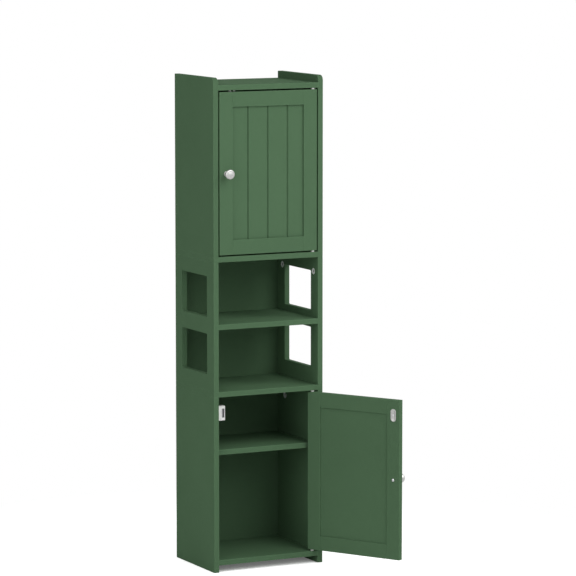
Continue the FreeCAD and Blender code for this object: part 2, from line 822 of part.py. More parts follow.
def hinge_bushes(label, floor, clear):
    """A bush in the floor and one in the panel above, each with a collar in the gap beside the door."""
    body = new_body(label, Frame(pivot_x, pivot_y, floor))
    bore = S.pivot_radius + S.running_gap
    collar = S.door_end_gap - S.bush_door_gap
    for level, out in ((0, 1), (clear, -1)):
        profile = [
            Corner(bore, -out * S.bush_depth),
            Corner(S.bush_radius, -out * S.bush_depth),
            Corner(S.bush_radius, 0),
            Corner(S.bush_collar_radius, 0),
            Corner(S.bush_collar_radius, out * collar),
            Corner(bore, out * collar),
        ]
        turned(body, "z", (0, 0, level), profile)


def catch(name, level):
    """A magnetic catch on the left side, just behind the shut door."""
    frame = Frame(-inner, catch_front, level)
    tall = S.catch_height / 2
    box = ((0, S.catch_width), (0, S.catch_depth), (-tall, tall))
    body = board(f"{name}_catch_body", frame, *box, S.catch_round)
    pole_tall = S.pole_height / 2
    magnet_half = S.magnet_thickness / 2
    pole_back = S.pole_depth - S.pole_proud
    room = magnet_half + S.pole_thickness + S.fit_gap
    room_tall = pole_tall + S.fit_gap
    mouth = rectangle((S.pole_offset - room, S.pole_offset + room), (-room_tall, room_tall))
    cut(body, "y", 0, 1, mouth, pole_back)
    screws = [(S.catch_depth / 2, row * S.catch_screw_offset) for row in BOTH]
    drill(body, "x", S.catch_width, -1, screws, Hole(S.catch_screw_radius + S.fit_gap, S.catch_width))
    head = Hole(S.catch_screw_head_radius + S.fit_gap, S.catch_screw_head + S.fit_gap)
    drill(body, "x", S.catch_width, -1, screws, head)

    poles = new_body(f"{name}_catch_poles", frame)
    for side in BOTH:
        near = S.pole_offset + side * magnet_half
        far = near + side * S.pole_thickness
        x = (near, far) if side == RIGHT else (far, near)
        pad(poles, "z", -pole_tall, rectangle(x, (-S.pole_proud, pole_back)), S.pole_height)

    magnet_front = S.magnet_recess - S.pole_proud
    x = (S.pole_offset - magnet_half, S.pole_offset + magnet_half)
    board(f"{name}_catch_magnet", frame, x, (magnet_front, pole_back), (-pole_tall, pole_tall))

    fixings = new_body(f"{name}_catch_screws", frame)
    profile = [
        Corner(0, 0),
        Corner(S.catch_screw_head_radius, 0),
        Corner(S.catch_screw_head_radius, -S.catch_screw_head),
        Corner(S.catch_screw_radius, -S.catch_screw_head),
        Corner(S.catch_screw_radius, -S.catch_width - S.catch_screw_bite + S.catch_screw_radius),
        Corner(0, -S.catch_width - S.catch_screw_bite),
    ]
    for y, z in screws:
        turned(fixings, "x", (S.catch_width, y, z), profile)


def stop_pegs():
    body = new_body("upper_stop_pegs", Frame(z=top_panel_base))
    profile = [
        Corner(0, S.stop_grip),
        Corner(S.stop_radius, S.stop_grip),
        Corner(S.stop_radius, -S.stop_drop),
        Corner(0, -S.stop_drop),
    ]
    for x in stop_places:
        turned(body, "z", (x, stop_y, 0), profile)


# Doors, in a frame whose origin is the pivot line at the door's lower end

hinge_edge = S.pivot_inset - S.door_side_gap
free_edge = hinge_edge - 2 * inner + 2 * S.door_side_gap
door_front = -S.pivot_setback
door_back = door_front + S.door_thickness
door_middle = (door_front + door_back) / 2
frame_left = free_edge + S.stile_width
frame_right = hinge_edge - S.stile_width
panel_middle = door_middle + S.door_panel_setback
panel_faces = (panel_middle - S.door_panel_thickness / 2, panel_middle + S.door_panel_thickness / 2)
groove_faces = (panel_faces[0] - S.fit_gap, panel_faces[1] + S.fit_gap)
tongue = S.door_groove_depth - S.panel_float
fitting_x = free_edge + S.stile_width / 2


def door_stile(name, frame, height, hinge):
    x = (frame_right, hinge_edge) if hinge else (free_edge, frame_left)
    label = f"{name}_hinge_stile" if hinge else f"{name}_handle_stile"
    body = board(label, frame, x, (door_front, door_back), (0, height), S.edge_round)
    if hinge:
        groove = (frame_right - S.overrun, frame_right + S.door_groove_depth)
    else:
        groove = (frame_left - S.door_groove_depth, frame_left + S.overrun)
    cut(body, "z", height, -1, rectangle(groove, groove_faces), height)
    return body


def door_rail(label, frame, base, away):
    """A rail with its tenons; away is the side of it that the centre panel is on."""
    low, high = base, base + S.rail_width
    body = board(label, frame, (frame_left, frame_right), (door_front, door_back), (low, high), S.edge_round)
    inside = high if away > 0 else low
    floor = inside - away * S.door_groove_depth
    mouth = inside + away * S.overrun
    tenon = (low, floor) if away > 0 else (floor, high)
    reach = (frame_left - tongue, frame_right + tongue)
    pad(body, "z", tenon[0], rectangle(reach, panel_faces), tenon[1] - tenon[0])
    span = (floor, mouth) if away > 0 else (mouth, floor)
    cut(body, "x", frame_right, -1, rectangle(groove_faces, span), frame_right - frame_left)


def door_panel(name, frame, height):
    x = (frame_left - tongue, frame_right + tongue)
    z = (S.rail_width - tongue, height - S.rail_width + tongue)
    body = board(f"{name}_panel", frame, x, panel_faces, z)
    face = panel_faces[0]
    middle = (frame_left + frame_right) / 2
    sketch = flat_sketch(body, "z", z[1])
    for step in BEAD_STEPS:
        centre = middle + step * S.bead_pitch
        left = centre - S.bead_width / 2
        right = centre + S.bead_width / 2
        outline(
            sketch,
            [
                Corner(left, face - S.overrun),
                Corner(right, face - S.overrun),
                Corner(right, face),
                Corner(centre, face + S.bead_depth),
                Corner(left, face),
            ],
        )
    pocket(body, "z", sketch, z[1] - z[0], -1)


def door_pins(name, frame, height):
    body = new_body(f"{name}_pivot_pins", frame)
    reach = S.door_end_gap + S.bush_depth - S.pivot_end_gap
    for level, out in ((0, -1), (height, 1)):
        profile = [
            Corner(0, -out * S.pivot_grip),
            Corner(S.pivot_radius, -out * S.pivot_grip),
            Corner(S.pivot_radius, out * reach),
            Corner(0, out * reach),
        ]
        turned(body, "z", (0, 0, level), profile)


def door_knob(name, frame, height):
    """A flared knob with a rounded rim, held by a screw from inside the door."""
    rim_end = S.knob_flare + S.knob_rim
    face = rim_end + S.knob_rim_round
    face_radius = S.knob_radius - S.knob_rim_round
    dome_curve = (face_radius * face_radius + S.knob_dome * S.knob_dome) / (2 * S.knob_dome)
    bore = S.knob_screw_radius + S.fit_gap
    bore_end = S.knob_screw_bite + S.end_gap
    knob = new_body(f"{name}_knob", frame)
    profile = [
        Corner(bore, 0),
        Corner(S.knob_base_radius, 0),
        Corner(S.knob_base_radius, -S.knob_base, S.knob_flare_curve, 1),
        Corner(S.knob_radius, -S.knob_flare),
        Corner(S.knob_radius, -rim_end, S.knob_rim_round, -1),
        Corner(face_radius, -face, dome_curve, -1),
        Corner(0, -face - S.knob_dome),
        Corner(0, -bore_end),
        Corner(bore, -bore_end),
    ]
    turned(knob, "y", (fitting_x, door_front, height / 2), profile)

    screw = new_body(f"{name}_knob_screw", frame)
    reach = S.door_thickness + S.knob_screw_bite
    crown = S.knob_screw_head / 2
    profile = [
        Corner(0, -reach),
        Corner(S.knob_screw_radius, -reach),
        Corner(S.knob_screw_radius, 0),
        Corner(S.knob_screw_head_radius, 0),
        Corner(S.knob_screw_head_radius, crown),
        Corner(S.knob_screw_head_radius - crown, S.knob_screw_head),
        Corner(0, S.knob_screw_head),
    ]
    turned(screw, "y", (fitting_x, door_back, height / 2), profile)


def door_strike(name, frame, height):
    level = height - S.strike_drop
    plate = new_body(f"{name}_strike_plate", frame)
    across = (fitting_x - S.strike_width / 2, fitting_x + S.strike_width / 2)
    up = (level - S.strike_height / 2, level + S.strike_height / 2)
    pad(plate, "y", door_back, rounded_rectangle(across, up, S.strike_corner), S.strike_thickness)
    hole = S.strike_screw_radius + S.fit_gap
    outside = door_back + S.strike_thickness
    drill(plate, "y", outside, -1, [(fitting_x, level)], Hole(hole, S.strike_thickness))
    mouth = hole + S.strike_sink
    sink = [
        Corner(0, 0),
        Corner(mouth, 0),
        Corner(hole, -S.strike_sink),
        Corner(0, -S.strike_sink),
    ]
    sketch = new_sketch(plate, "z", (fitting_x, outside, level))
    outline(sketch, sink)
    groove = feature(plate, "Groove", sketch)
    groove.ReferenceAxis = (sketch, ["V_Axis"])
    groove.Angle = 360

    screw = new_body(f"{name}_strike_screw", frame)
    bite = S.strike_thickness + S.strike_screw_bite
    profile = [
        Corner(0, 0),
        Corner(mouth - S.fit_gap, 0),
        Corner(S.strike_screw_radius, -S.strike_sink),
        Corner(S.strike_screw_radius, S.strike_screw_radius - bite),
        Corner(0, -bite),
    ]
    turned(screw, "y", (fitting_x, outside, level), profile)


def door(name, floor, angle, clear):
    height = clear - 2 * S.door_end_gap
    frame = Frame(pivot_x, pivot_y, floor + S.door_end_gap, angle)
    hinge_stile = door_stile(name, frame, height, True)
    pin_hole = Hole(S.pivot_radius + S.fit_gap, S.pivot_grip + S.end_gap)
    drill(hinge_stile, "z", 0, 1, [(0, 0)], pin_hole)
    drill(hinge_stile, "z", height, -1, [(0, 0)], pin_hole)
    handle_stile = door_stile(name, frame, height, False)
    knob_hole = Hole(S.knob_screw_radius + S.knob_screw_gap, S.door_thickness)
    drill(handle_stile, "y", door_back, -1, [(fitting_x, height / 2)], knob_hole)
    strike_hole = Hole(S.strike_screw_radius + S.fit_gap, S.strike_screw_bite + S.end_gap)
    drill(handle_stile, "y", door_back, -1, [(fitting_x, height - S.strike_drop)], strike_hole)
    door_rail(f"{name}_bottom_rail", frame, as_size(0), 1)
    door_rail(f"{name}_top_rail", frame, height - S.rail_width, -1)
    door_panel(name, frame, height)
    door_pins(name, frame, height)
    door_knob(name, frame, height)
    door_strike(name, frame, height)


def build():
    for side in BOTH:
        lower_side(side)
        middle_side(side)
        upper_side(side)
    bottom_panel()
    fitted_panel("middle_shelf", middle_shelf_base)
    top_panel()
    dividers()
    back_panel("lower_back", lower_back_span)
    back_panel("middle_back", middle_back_span)
    back_panel("upper_back", upper_back_span)
    for name, floor in (("lower", lower_floor), ("upper", upper_base)):
        shelf(f"{name}_shelf", floor)
        shelf_supports(f"{name}_shelf_supports", floor)
    cam_fittings()
    dowels()
    divider_screws()
    back_screws()
    hinge_bushes("lower_hinge_bushes", lower_floor, lower_clear)
    hinge_bushes("upper_hinge_bushes", upper_base, upper_clear)
    catch("lower", lower_floor + lower_catch)
    catch("upper", upper_base + upper_catch)
    stop_pegs()
    door("lower_door", lower_floor, S.lower_door_angle, lower_clear)
    door("upper_door", upper_base, S.upper_door_angle, upper_clear)
    doc.recompute()


def check_document(sub_parts):
    for thing in doc.Objects:
        if {"Invalid", "Error"} & set(thing.State):
            raise RuntimeError(f"{thing.Label} failed: {thing.State}")
        if thing.TypeId in ("PartDesign::Pocket", "PartDesign::Groove"):
            if thing.Shape.Volume >= thing.BaseFeature.Shape.Volume:
                raise RuntimeError(f"{thing.Label} cuts nothing")
    for thing in sub_parts:
        if thing.Shape.isNull() or not thing.Shape.isValid() or not thing.Shape.Solids:
            raise RuntimeError(f"{thing.Label} has no sound shape")


def main():
    build()
    pieces = [t for t in doc.Objects if t.TypeId in ("PartDesign::Body", "Part::Feature")]
    sub_parts = [t for t in pieces if not t.Label.endswith("_pattern")]
    check_document(sub_parts)
    os.makedirs("parts", exist_ok=True)
    for thing in sub_parts:
        thing.Shape.exportStep(os.path.join("parts", f"{thing.Label}.step"))
    print(len(sub_parts), "sub-parts")


main()
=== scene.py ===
"""Narrow bathroom cabinet: satin paint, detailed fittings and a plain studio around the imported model.

Metres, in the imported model's own frame: +Z is up, the front faces -Y and the doors hang on the right.
"""

import json
import math
from typing import NamedTuple

import bpy
from mathutils import Matrix, Vector


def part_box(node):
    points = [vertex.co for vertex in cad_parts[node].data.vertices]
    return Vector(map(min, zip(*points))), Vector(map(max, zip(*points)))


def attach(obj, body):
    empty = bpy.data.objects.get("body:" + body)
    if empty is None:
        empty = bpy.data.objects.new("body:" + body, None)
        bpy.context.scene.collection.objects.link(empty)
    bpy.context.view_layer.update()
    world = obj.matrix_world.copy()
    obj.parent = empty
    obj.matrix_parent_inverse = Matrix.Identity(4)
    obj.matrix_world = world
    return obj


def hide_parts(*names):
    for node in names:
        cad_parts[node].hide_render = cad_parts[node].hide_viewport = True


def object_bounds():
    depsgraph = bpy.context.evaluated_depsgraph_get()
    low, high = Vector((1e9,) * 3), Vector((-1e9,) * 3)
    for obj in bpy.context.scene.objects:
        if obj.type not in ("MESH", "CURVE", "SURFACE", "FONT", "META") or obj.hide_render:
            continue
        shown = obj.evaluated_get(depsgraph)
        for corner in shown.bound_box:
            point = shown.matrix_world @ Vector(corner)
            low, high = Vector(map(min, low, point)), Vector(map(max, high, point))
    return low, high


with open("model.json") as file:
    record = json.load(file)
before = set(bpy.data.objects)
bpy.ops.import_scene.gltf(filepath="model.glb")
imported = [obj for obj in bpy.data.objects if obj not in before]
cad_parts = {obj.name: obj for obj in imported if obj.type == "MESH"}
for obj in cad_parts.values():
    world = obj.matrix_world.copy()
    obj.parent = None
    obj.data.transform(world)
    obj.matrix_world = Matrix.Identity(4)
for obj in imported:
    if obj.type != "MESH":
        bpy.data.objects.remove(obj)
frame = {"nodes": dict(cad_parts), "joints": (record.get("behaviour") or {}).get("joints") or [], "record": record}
CAD_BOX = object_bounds()

bl_info = {
    "name": "Bathroom Cabinet Looks",
    "version": (1, 0, 0),
    "blender": (4, 5, 0),
    "location": "3D View > Sidebar > Cabinet",
    "description": "Paints a narrow bathroom cabinet, details its fittings and stands it in a plain studio",
    "category": "Object",
}

MM = 0.001
BOTH = (-1, 1)
UP = Vector((0.0, 0.0, 1.0))
RIGHT = Vector((1.0, 0.0, 0.0))
BACKWARD = Vector((0.0, 1.0, 0.0))
CARCASS = "carcass"
DOORS = ("lower_door", "upper_door")
CUPBOARDS = ("lower", "upper")
BACKS = ("lower_back", "middle_back", "upper_back")
JOINT_OF = {joint["child"]: joint for joint in frame["joints"]}
BODY_OF = {node: body for body, nodes in frame["record"]["behaviour"]["bodies"].items() for node in nodes}
SLOT_OF = {row["node"]: row["material_slot"] for row in frame["record"]["subparts"]}

# Modelling: angles of an arc are in degrees from the outward direction

UPWARD_ANGLE = 90.0
INWARD_ANGLE = 180.0
DOWNWARD_ANGLE = 270.0
SMOOTH_ANGLE = math.radians(35.0)
EASE_ANGLE = math.radians(40.0)
EASE_SEGMENTS = 2
FACING_SHARE = 0.5

# Screws: shares are of the shank's radius, the head's radius or the head's height

SCREW_CORNERS = 32
TIP_RADIUS_SHARE = 0.2
TIP_LENGTH_SHARE = 1.5
CROWN_SHARE = 0.55
CROWN_STEPS = 4
RECESS_REACH_SHARE = 0.6
RECESS_DEPTH_SHARE = 0.75
RECESS_TAPER = 0.6
KNOB_SCREW_SHANK = 2 * MM
SMALL_SCREW_SHANK = 1.5 * MM
BACK_SCREW_HEAD = 3 * MM
BACK_SCREW_INSET = 30 * MM
STRIKE_SCREW_HEAD = 2.3 * MM
STRIKE_SCREW_HEIGHT = 0.35 * MM
STRIKE_SCREW_REACH = 1.4 * MM
CATCH_SCREW_HEIGHT = 1.2 * MM

# Knobs and strike plates: shares are of the face's radius and the plate's width

KNOB_CORNERS = 96
KNOB_STEP = 0.5 * MM
COVE_STEPS = 8
RIM_STEPS = 12
RIM_START_ANGLE = -50.0
DOME_SHARES = (0.75, 0.5, 0.25, 0.05)
STRIKE_ROUND_SHARE = 0.48
STRIKE_ROUND_SEGMENTS = 10
STRIKE_EASE = 0.2 * MM

# Cam discs: shares are of the radius inside the rim

CAM_CORNERS = 48
CAM_RADIUS = 7.4 * MM
CAM_DEPTH = 9.4 * MM
CAM_EDGE = 0.3 * MM
CAM_FLOOR_SHARE = 0.1
CAM_CROSS_SHARE = 0.9
CAM_CROSS_HALF = 0.75 * MM
CAM_CROSS_DEPTH = 1.2 * MM
CAM_CROSS_TAPER = 0.75
CAM_REACH = 34 * MM
PANEL_CAM_INSET = 35 * MM
FRAME_CAM_INSET = 23 * MM
CAM_PANELS = ("bottom_panel", "middle_shelf", "top_panel")
CAM_SIDES = {"lower_side_right": PANEL_CAM_INSET, "middle_side_right": FRAME_CAM_INSET}


# Finishes

class Texture(NamedTuple):
    """Noise with features about a size across, spread from a low to a high value."""

    size: float
    detail: float
    low: float
    high: float


NOISE_LOW = 0.3
NOISE_HIGH = 0.7
NOISE_MIDDLE = 0.5
BROKEN_RUB_AND_HIGHLIGHT = Texture(30 * MM, 3.0, 0.2, 1.0)
CLOUDS = Texture(170 * MM, 3.0, -1.0, 1.0)
MOTTLE = Texture(9 * MM, 2.0, -0.4, 0.4)
ROUGH_PATCHES = Texture(50 * MM, 4.0, 0.76, 0.88)
ORANGE_PEEL = Texture(2 * MM, 1.0, 0.0, 1.0)
GRIT = Texture(0.5 * MM, 1.0, 0.0, 0.15)
TARNISH = Texture(6 * MM, 4.0, 0.92, 1.04)
METAL_GRAIN = Texture(0.6 * MM, 3.0, 0.0, 1.0)
FLOW_MARKS = Texture(8 * MM, 3.0, 0.95, 1.02)
ERODED_SKIN = Texture(0.4 * MM, 2.0, 0.0, 1.0)
FIBRES = Texture(0.8 * MM, 3.0, 0.85, 1.1)
FLECKS = Texture(0.3 * MM, 2.0, 0.0, 1.0)
# Lightening of the rubbed edges: partly wear, partly a painted highlight.
RUB_AND_HIGHLIGHT_LIFT = 0.2
RUB_POLISH = 0.12
ACROSS_Z = (1.0, 1.0, 0.0)
RING_PITCH = 0.35 * MM
RING_ROUGHNESS = 0.05
ERODED_ROUGHNESS = 0.15
FIBRE_STRETCH = (0.08, 1.0, 1.0)
FLECK_SHADE = 0.12
WOOD_ROUGHNESS = (0.55, 0.75)
METAL_RELIEF = 0.01 * MM
PLASTIC_RELIEF = 0.02 * MM
WOOD_RELIEF = 0.05 * MM
SKIN = {"Colour": "Color", "Roughness": "Float", "Height": "Float"}

# Stage

FLOOR_SIZE = 12.0
SHADOW_END = 0.4
WHITE_START = 0.9
OPEN_FLOOR = 0.55
COVERED_LIFT = 0.1
OPENNESS_SAMPLES = 16
WHITE = (1.0, 1.0, 1.0, 1.0)
SOFTBOXES = ("key", "fill", "left", "back")
SHEENLESS_SOFTBOX = "back"


# Sizes and colours that a user would change

class CabinetPaint(bpy.types.PropertyGroup):
    """The paint of the boards."""

    colour: bpy.props.FloatVectorProperty(
        name="Paint",
        description="Green of the boards and doors",
        subtype="COLOR",
        default=(0.084, 0.156, 0.084),
    )
    back_colour: bpy.props.FloatVectorProperty(
        name="Back paint",
        description="Green of the thin back panels",
        subtype="COLOR",
        default=(0.080, 0.148, 0.080),
    )
    cloud: bpy.props.FloatProperty(
        name="Clouds",
        description="How far the paint's shade drifts",
        subtype="FACTOR",
        default=0.025,
    )
    sheen: bpy.props.FloatProperty(
        name="Sheen",
        description="Specular level of the satin paint",
        subtype="FACTOR",
        default=0.03,
    )
    peel: bpy.props.FloatProperty(
        name="Orange peel",
        description="Depth of the orange peel",
        unit="LENGTH",
        default=0.05 * MM,
    )
    # The rubbed edges are lighter: partly wear, partly a painted highlight.
    rub_and_highlight_width: bpy.props.FloatProperty(
        name="Rubbed edge",
        description="Width of the rubbed paint along edges",
        unit="LENGTH",
        default=2.0 * MM,
    )


class CabinetFinishes(bpy.types.PropertyGroup):
    """The colours of the fittings."""

    knob: bpy.props.FloatVectorProperty(
        name="Knobs", description="Satin nickel of the knobs", subtype="COLOR", default=(0.47, 0.47, 0.46)
    )
    nickel: bpy.props.FloatVectorProperty(
        name="Nickel", description="Poles and shelf pins", subtype="COLOR", default=(0.50, 0.51, 0.50)
    )
    strike: bpy.props.FloatVectorProperty(
        name="Strike", description="Nickel of the strike plates", subtype="COLOR", default=(0.40, 0.40, 0.39)
    )
    zinc: bpy.props.FloatVectorProperty(
        name="Zinc", description="Screws, bolts and pivots", subtype="COLOR", default=(0.55, 0.56, 0.57)
    )
    cast: bpy.props.FloatVectorProperty(
        name="Cast zinc", description="Cam discs", subtype="COLOR", default=(0.80, 0.83, 0.80)
    )
    # Dark colour painted as shade in the cam discs' recesses; the real zinc there matches the rim.
    recess: bpy.props.FloatVectorProperty(
        name="Recess",
        description="Painted_shade recess of the cam discs",
        subtype="COLOR",
        default=(0.06, 0.06, 0.055),
    )
    nylon: bpy.props.FloatVectorProperty(
        name="Nylon", description="Hinge bushes", subtype="COLOR", default=(0.70, 0.70, 0.68)
    )
    pegs: bpy.props.FloatVectorProperty(
        name="Pegs", description="Glossy nylon of the stop pegs", subtype="COLOR", default=(0.92, 0.92, 0.90)
    )
    plastic: bpy.props.FloatVectorProperty(
        name="Plastic", description="Catch bodies", subtype="COLOR", default=(0.86, 0.86, 0.84)
    )
    ferrite: bpy.props.FloatVectorProperty(
        name="Ferrite", description="Magnets of the catches", subtype="COLOR", default=(0.04, 0.04, 0.045)
    )
    beech: bpy.props.FloatVectorProperty(
        name="Beech", description="Wooden dowels", subtype="COLOR", default=(0.50, 0.34, 0.19)
    )


class CabinetFittings(bpy.types.PropertyGroup):
    """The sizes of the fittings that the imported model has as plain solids."""

    knob_foot: bpy.props.FloatProperty(
        name="Knob foot", description="Radius of a knob's foot", unit="LENGTH", default=5.8 * MM
    )
    knob_neck: bpy.props.FloatProperty(
        name="Knob neck", description="Radius of a knob's neck", unit="LENGTH", default=4.8 * MM
    )
    knob_head: bpy.props.FloatProperty(
        name="Knob head", description="Length of a knob's flared head", unit="LENGTH", default=16.5 * MM
    )
    knob_rim: bpy.props.FloatProperty(
        name="Knob rim", description="Radius of a knob's rounded rim", unit="LENGTH", default=3.2 * MM
    )
    knob_face: bpy.props.FloatProperty(
        name="Knob face", description="Radius of the domed face of a knob", unit="LENGTH", default=6.4 * MM
    )
    knob_dome: bpy.props.FloatProperty(
        name="Knob dome", description="How far a knob's face swells", unit="LENGTH", default=0.3 * MM
    )
    knob_sink: bpy.props.FloatProperty(
        name="Knob sink",
        description="How deep the ring round a knob's face is",
        unit="LENGTH",
        default=0.3 * MM,
    )
    recess_half: bpy.props.FloatProperty(
        name="Recess", description="Half width of a screw's cross recess", unit="LENGTH", default=0.42 * MM
    )
    strike_border: bpy.props.FloatProperty(
        name="Strike border", description="Raised border of a strike plate", unit="LENGTH", default=2.6 * MM
    )
    strike_sink: bpy.props.FloatProperty(
        name="Strike sink",
        description="Depth inside a strike plate's border",
        unit="LENGTH",
        default=0.5 * MM,
    )
    cam_rim: bpy.props.FloatProperty(
        name="Cam rim", description="Width of a cam disc's rim", unit="LENGTH", default=3.9 * MM
    )
    cam_sink: bpy.props.FloatProperty(
        name="Cam sink", description="Depth inside a cam disc's rim", unit="LENGTH", default=1.8 * MM
    )


class CabinetStudio(bpy.types.PropertyGroup):
    """The camera, the floor and the light."""

    lens: bpy.props.FloatProperty(
        name="Lens", description="Focal length in millimetres", unit="CAMERA", default=205.06
    )
    camera_place: bpy.props.FloatVectorProperty(
        name="Camera",
        description="Where the camera stands",
        subtype="TRANSLATION",
        unit="LENGTH",
        default=(-3.2215, -6.5641, 1.5072),
    )
    camera_turn: bpy.props.FloatProperty(
        name="Turn",
        description="Camera's turn about the vertical",
        subtype="ANGLE",
        default=math.radians(-26.83),
    )
    camera_tilt: bpy.props.FloatProperty(
        name="Tilt",
        description="Camera's tilt below the horizon",
        subtype="ANGLE",
        default=math.radians(6.916),
    )
    ambient: bpy.props.FloatProperty(
        name="Ambient", description="Strength of the light from all around", default=0.15
    )
    softbox_size: bpy.props.FloatProperty(
        name="Softboxes", description="Side of each softbox", unit="LENGTH", default=3.0
    )
    key_power: bpy.props.FloatProperty(
        name="Key", description="Power of the main softbox", unit="POWER", default=76.0
    )
    key_place: bpy.props.FloatVectorProperty(
        name="Key place",
        description="Where the main softbox hangs",
        subtype="TRANSLATION",
        unit="LENGTH",
        default=(1.1, -2.3, 2.5),
    )
    fill_power: bpy.props.FloatProperty(
        name="Fill", description="Power of the softbox in front", unit="POWER", default=6.0
    )
    fill_place: bpy.props.FloatVectorProperty(
        name="Fill place",
        description="Where the softbox in front hangs",
        subtype="TRANSLATION",
        unit="LENGTH",
        default=(-0.6, -2.9, 1.55),
    )
    left_power: bpy.props.FloatProperty(
        name="Left", description="Power of the softbox on the left", unit="POWER", default=33.5
    )
    left_place: bpy.props.FloatVectorProperty(
        name="Left place",
        description="Where the softbox on the left hangs",
        subtype="TRANSLATION",
        unit="LENGTH",
        default=(-2.4, -1.0, 1.6),
    )
    back_power: bpy.props.FloatProperty(
        name="Back", description="Power of the softbox behind", unit="POWER", default=38.0
    )
    back_place: bpy.props.FloatVectorProperty(
        name="Back place",
        description="Where the softbox behind hangs",
        subtype="TRANSLATION",
        unit="LENGTH",
        default=(1.8, 2.3, 0.9),
    )
    floor_colour: bpy.props.FloatVectorProperty(
        name="Floor", description="Colour of the floor", subtype="COLOR", default=(0.90, 0.90, 0.90)
    )
    floor_lift: bpy.props.FloatProperty(
        name="Floor lift", description="White added where the camera sees open floor", default=0.75
    )
    shadow_reach: bpy.props.FloatProperty(
        name="Shadow reach", description="How near a piece darkens the floor", unit="LENGTH", default=0.12
    )


# Where bodies and pieces stand

def rest_turn(body):
    """How far a body is turned at rest from its shut place, and the point that it turns about."""
    joint = JOINT_OF.get(body)
    if joint is None:
        return 0.0, Vector((0.0, 0.0, 0.0))
    return math.radians(-joint["range_deg"][0]), Vector(joint["pos_m"])


def rest_place(body):
    """From a body's own axes, which start at its pivot with the door shut, to the frame at rest."""
    turn, pivot = rest_turn(body)
    return Matrix.Translation(pivot) @ Matrix.Rotation(turn, 4, "Z")


def own_box(node):
    """Lowest corner, highest corner and middle of a node in its body's own axes."""
    back = rest_place(BODY_OF[node]).inverted()
    points = [back @ vertex.co for vertex in frame["nodes"][node].data.vertices]
    low = Vector(min(point[axis] for point in points) for axis in range(3))
    high = Vector(max(point[axis] for point in points) for axis in range(3))
    return low, high, (low + high) / 2


def facing(body, point, outward):
    """The place of a piece whose Z looks out of a face, at a point in its body's own axes."""
    turn = Vector(outward).to_track_quat("Z", "Y").to_matrix().to_4x4()
    return rest_place(body) @ Matrix.Translation(point) @ turn


# Modelling

def select_only(piece):
    bpy.ops.object.select_all(action="DESELECT")
    piece.select_set(True)
    bpy.context.view_layer.objects.active = piece


def apply_place():
    bpy.ops.object.transform_apply(location=True, rotation=True, scale=True)


def choose_faces(piece, wanted):
    """Selects the faces that a test picks, for the next step in edit mode."""
    bpy.ops.object.mode_set(mode="EDIT")
    bpy.ops.mesh.select_mode(type="FACE")
    bpy.ops.mesh.select_all(action="DESELECT")
    bpy.ops.object.mode_set(mode="OBJECT")
    for face in piece.data.polygons:
        face.select = wanted(face)


def arc(centre, radius, start, finish, steps):
    """Rings of (radius, level) along an arc from one angle to another."""
    angles = [math.radians(start + (finish - start) * step / steps) for step in range(steps + 1)]
    return [(centre[0] + radius * math.cos(a), centre[1] + radius * math.sin(a)) for a in angles]


def turned(rings, corners):
    """A closed round piece about Z, drawn up ring by ring from a disc."""
    bpy.ops.object.select_all(action="DESELECT")
    radius, level = rings[0]
    start = (0, 0, level)
    bpy.ops.mesh.primitive_circle_add(vertices=corners, radius=radius, fill_type="NGON", location=start)
    piece = bpy.context.active_object
    bpy.ops.object.mode_set(mode="EDIT")
    bpy.ops.mesh.select_all(action="SELECT")
    for next_radius, next_level in rings[1:]:
        bpy.ops.mesh.extrude_region_move(TRANSFORM_OT_translate={"value": (0, 0, next_level - level)})
        grow = next_radius / radius
        bpy.ops.transform.resize(value=(grow, grow, 1.0))
        radius, level = next_radius, next_level
    bpy.ops.mesh.select_all(action="SELECT")
    bpy.ops.mesh.normals_make_consistent(inside=False)
    bpy.ops.object.mode_set(mode="OBJECT")
    apply_place()
    return piece


def cross_cutter(reach, half, level, depth, taper):
    """A cross with tapering arms, from above a level down to a depth under it."""
    bpy.ops.object.select_all(action="DESELECT")
    bpy.ops.mesh.primitive_cube_add(size=2 * half, location=(0, 0, level))
    cutter = bpy.context.active_object
    bpy.ops.transform.resize(value=(1.0, 1.0, depth / half))
    apply_place()
    choose_faces(cutter, lambda face: abs(face.normal.z) < FACING_SHARE)
    bpy.ops.object.mode_set(mode="EDIT")
    bpy.ops.mesh.extrude_faces_move(TRANSFORM_OT_shrink_fatten={"value": reach - half})
    bpy.ops.object.mode_set(mode="OBJECT")
    choose_faces(cutter, lambda face: face.normal.z < -FACING_SHARE)
    bpy.ops.object.mode_set(mode="EDIT")
    bpy.ops.transform.resize(value=(taper, taper, 1.0), center_override=(0, 0, level - depth))
    bpy.ops.object.mode_set(mode="OBJECT")
    return cutter


def clear_away(piece):
    mesh = piece.data
    select_only(piece)
    bpy.ops.object.delete()
    bpy.data.meshes.remove(mesh)


def carve(piece, cutter):
    """Cuts one piece out of another and clears it away."""
    select_only(piece)
    cut = piece.modifiers.new("cut", "BOOLEAN")
    cut.operation = "DIFFERENCE"
    cut.object = cutter
    bpy.ops.object.modifier_apply(modifier=cut.name)
    clear_away(cutter)


def ease(piece, width):
    """Rounds the sharp edges of a piece."""
    select_only(piece)
    round_off = piece.modifiers.new("ease", "BEVEL")
    round_off.width = width
    round_off.segments = EASE_SEGMENTS
    round_off.limit_method = "ANGLE"
    round_off.angle_limit = EASE_ANGLE
    bpy.ops.object.modifier_apply(modifier=round_off.name)


def smooth(piece):
    select_only(piece)
    bpy.ops.object.shade_smooth_by_angle(angle=SMOOTH_ANGLE)


def copies(master, places, names):
    """Copies of a finished piece, each with its own mesh set in its place."""
    made = []
    for place, name in zip(places, names):
        select_only(master)
        bpy.ops.object.duplicate()
        copy = bpy.context.active_object
        copy.name = name
        copy.matrix_world = place
        apply_place()
        made.append(copy)
    clear_away(master)
    return made


def numbered(name, places):
    return [f"{name}_{number:02d}" for number in range(1, len(places) + 1)]


def hand_over(piece, body, node, *materials):
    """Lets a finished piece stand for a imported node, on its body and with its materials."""
    for material in materials:
        piece.data.materials.append(material)
    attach(piece, body)
    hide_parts(node)


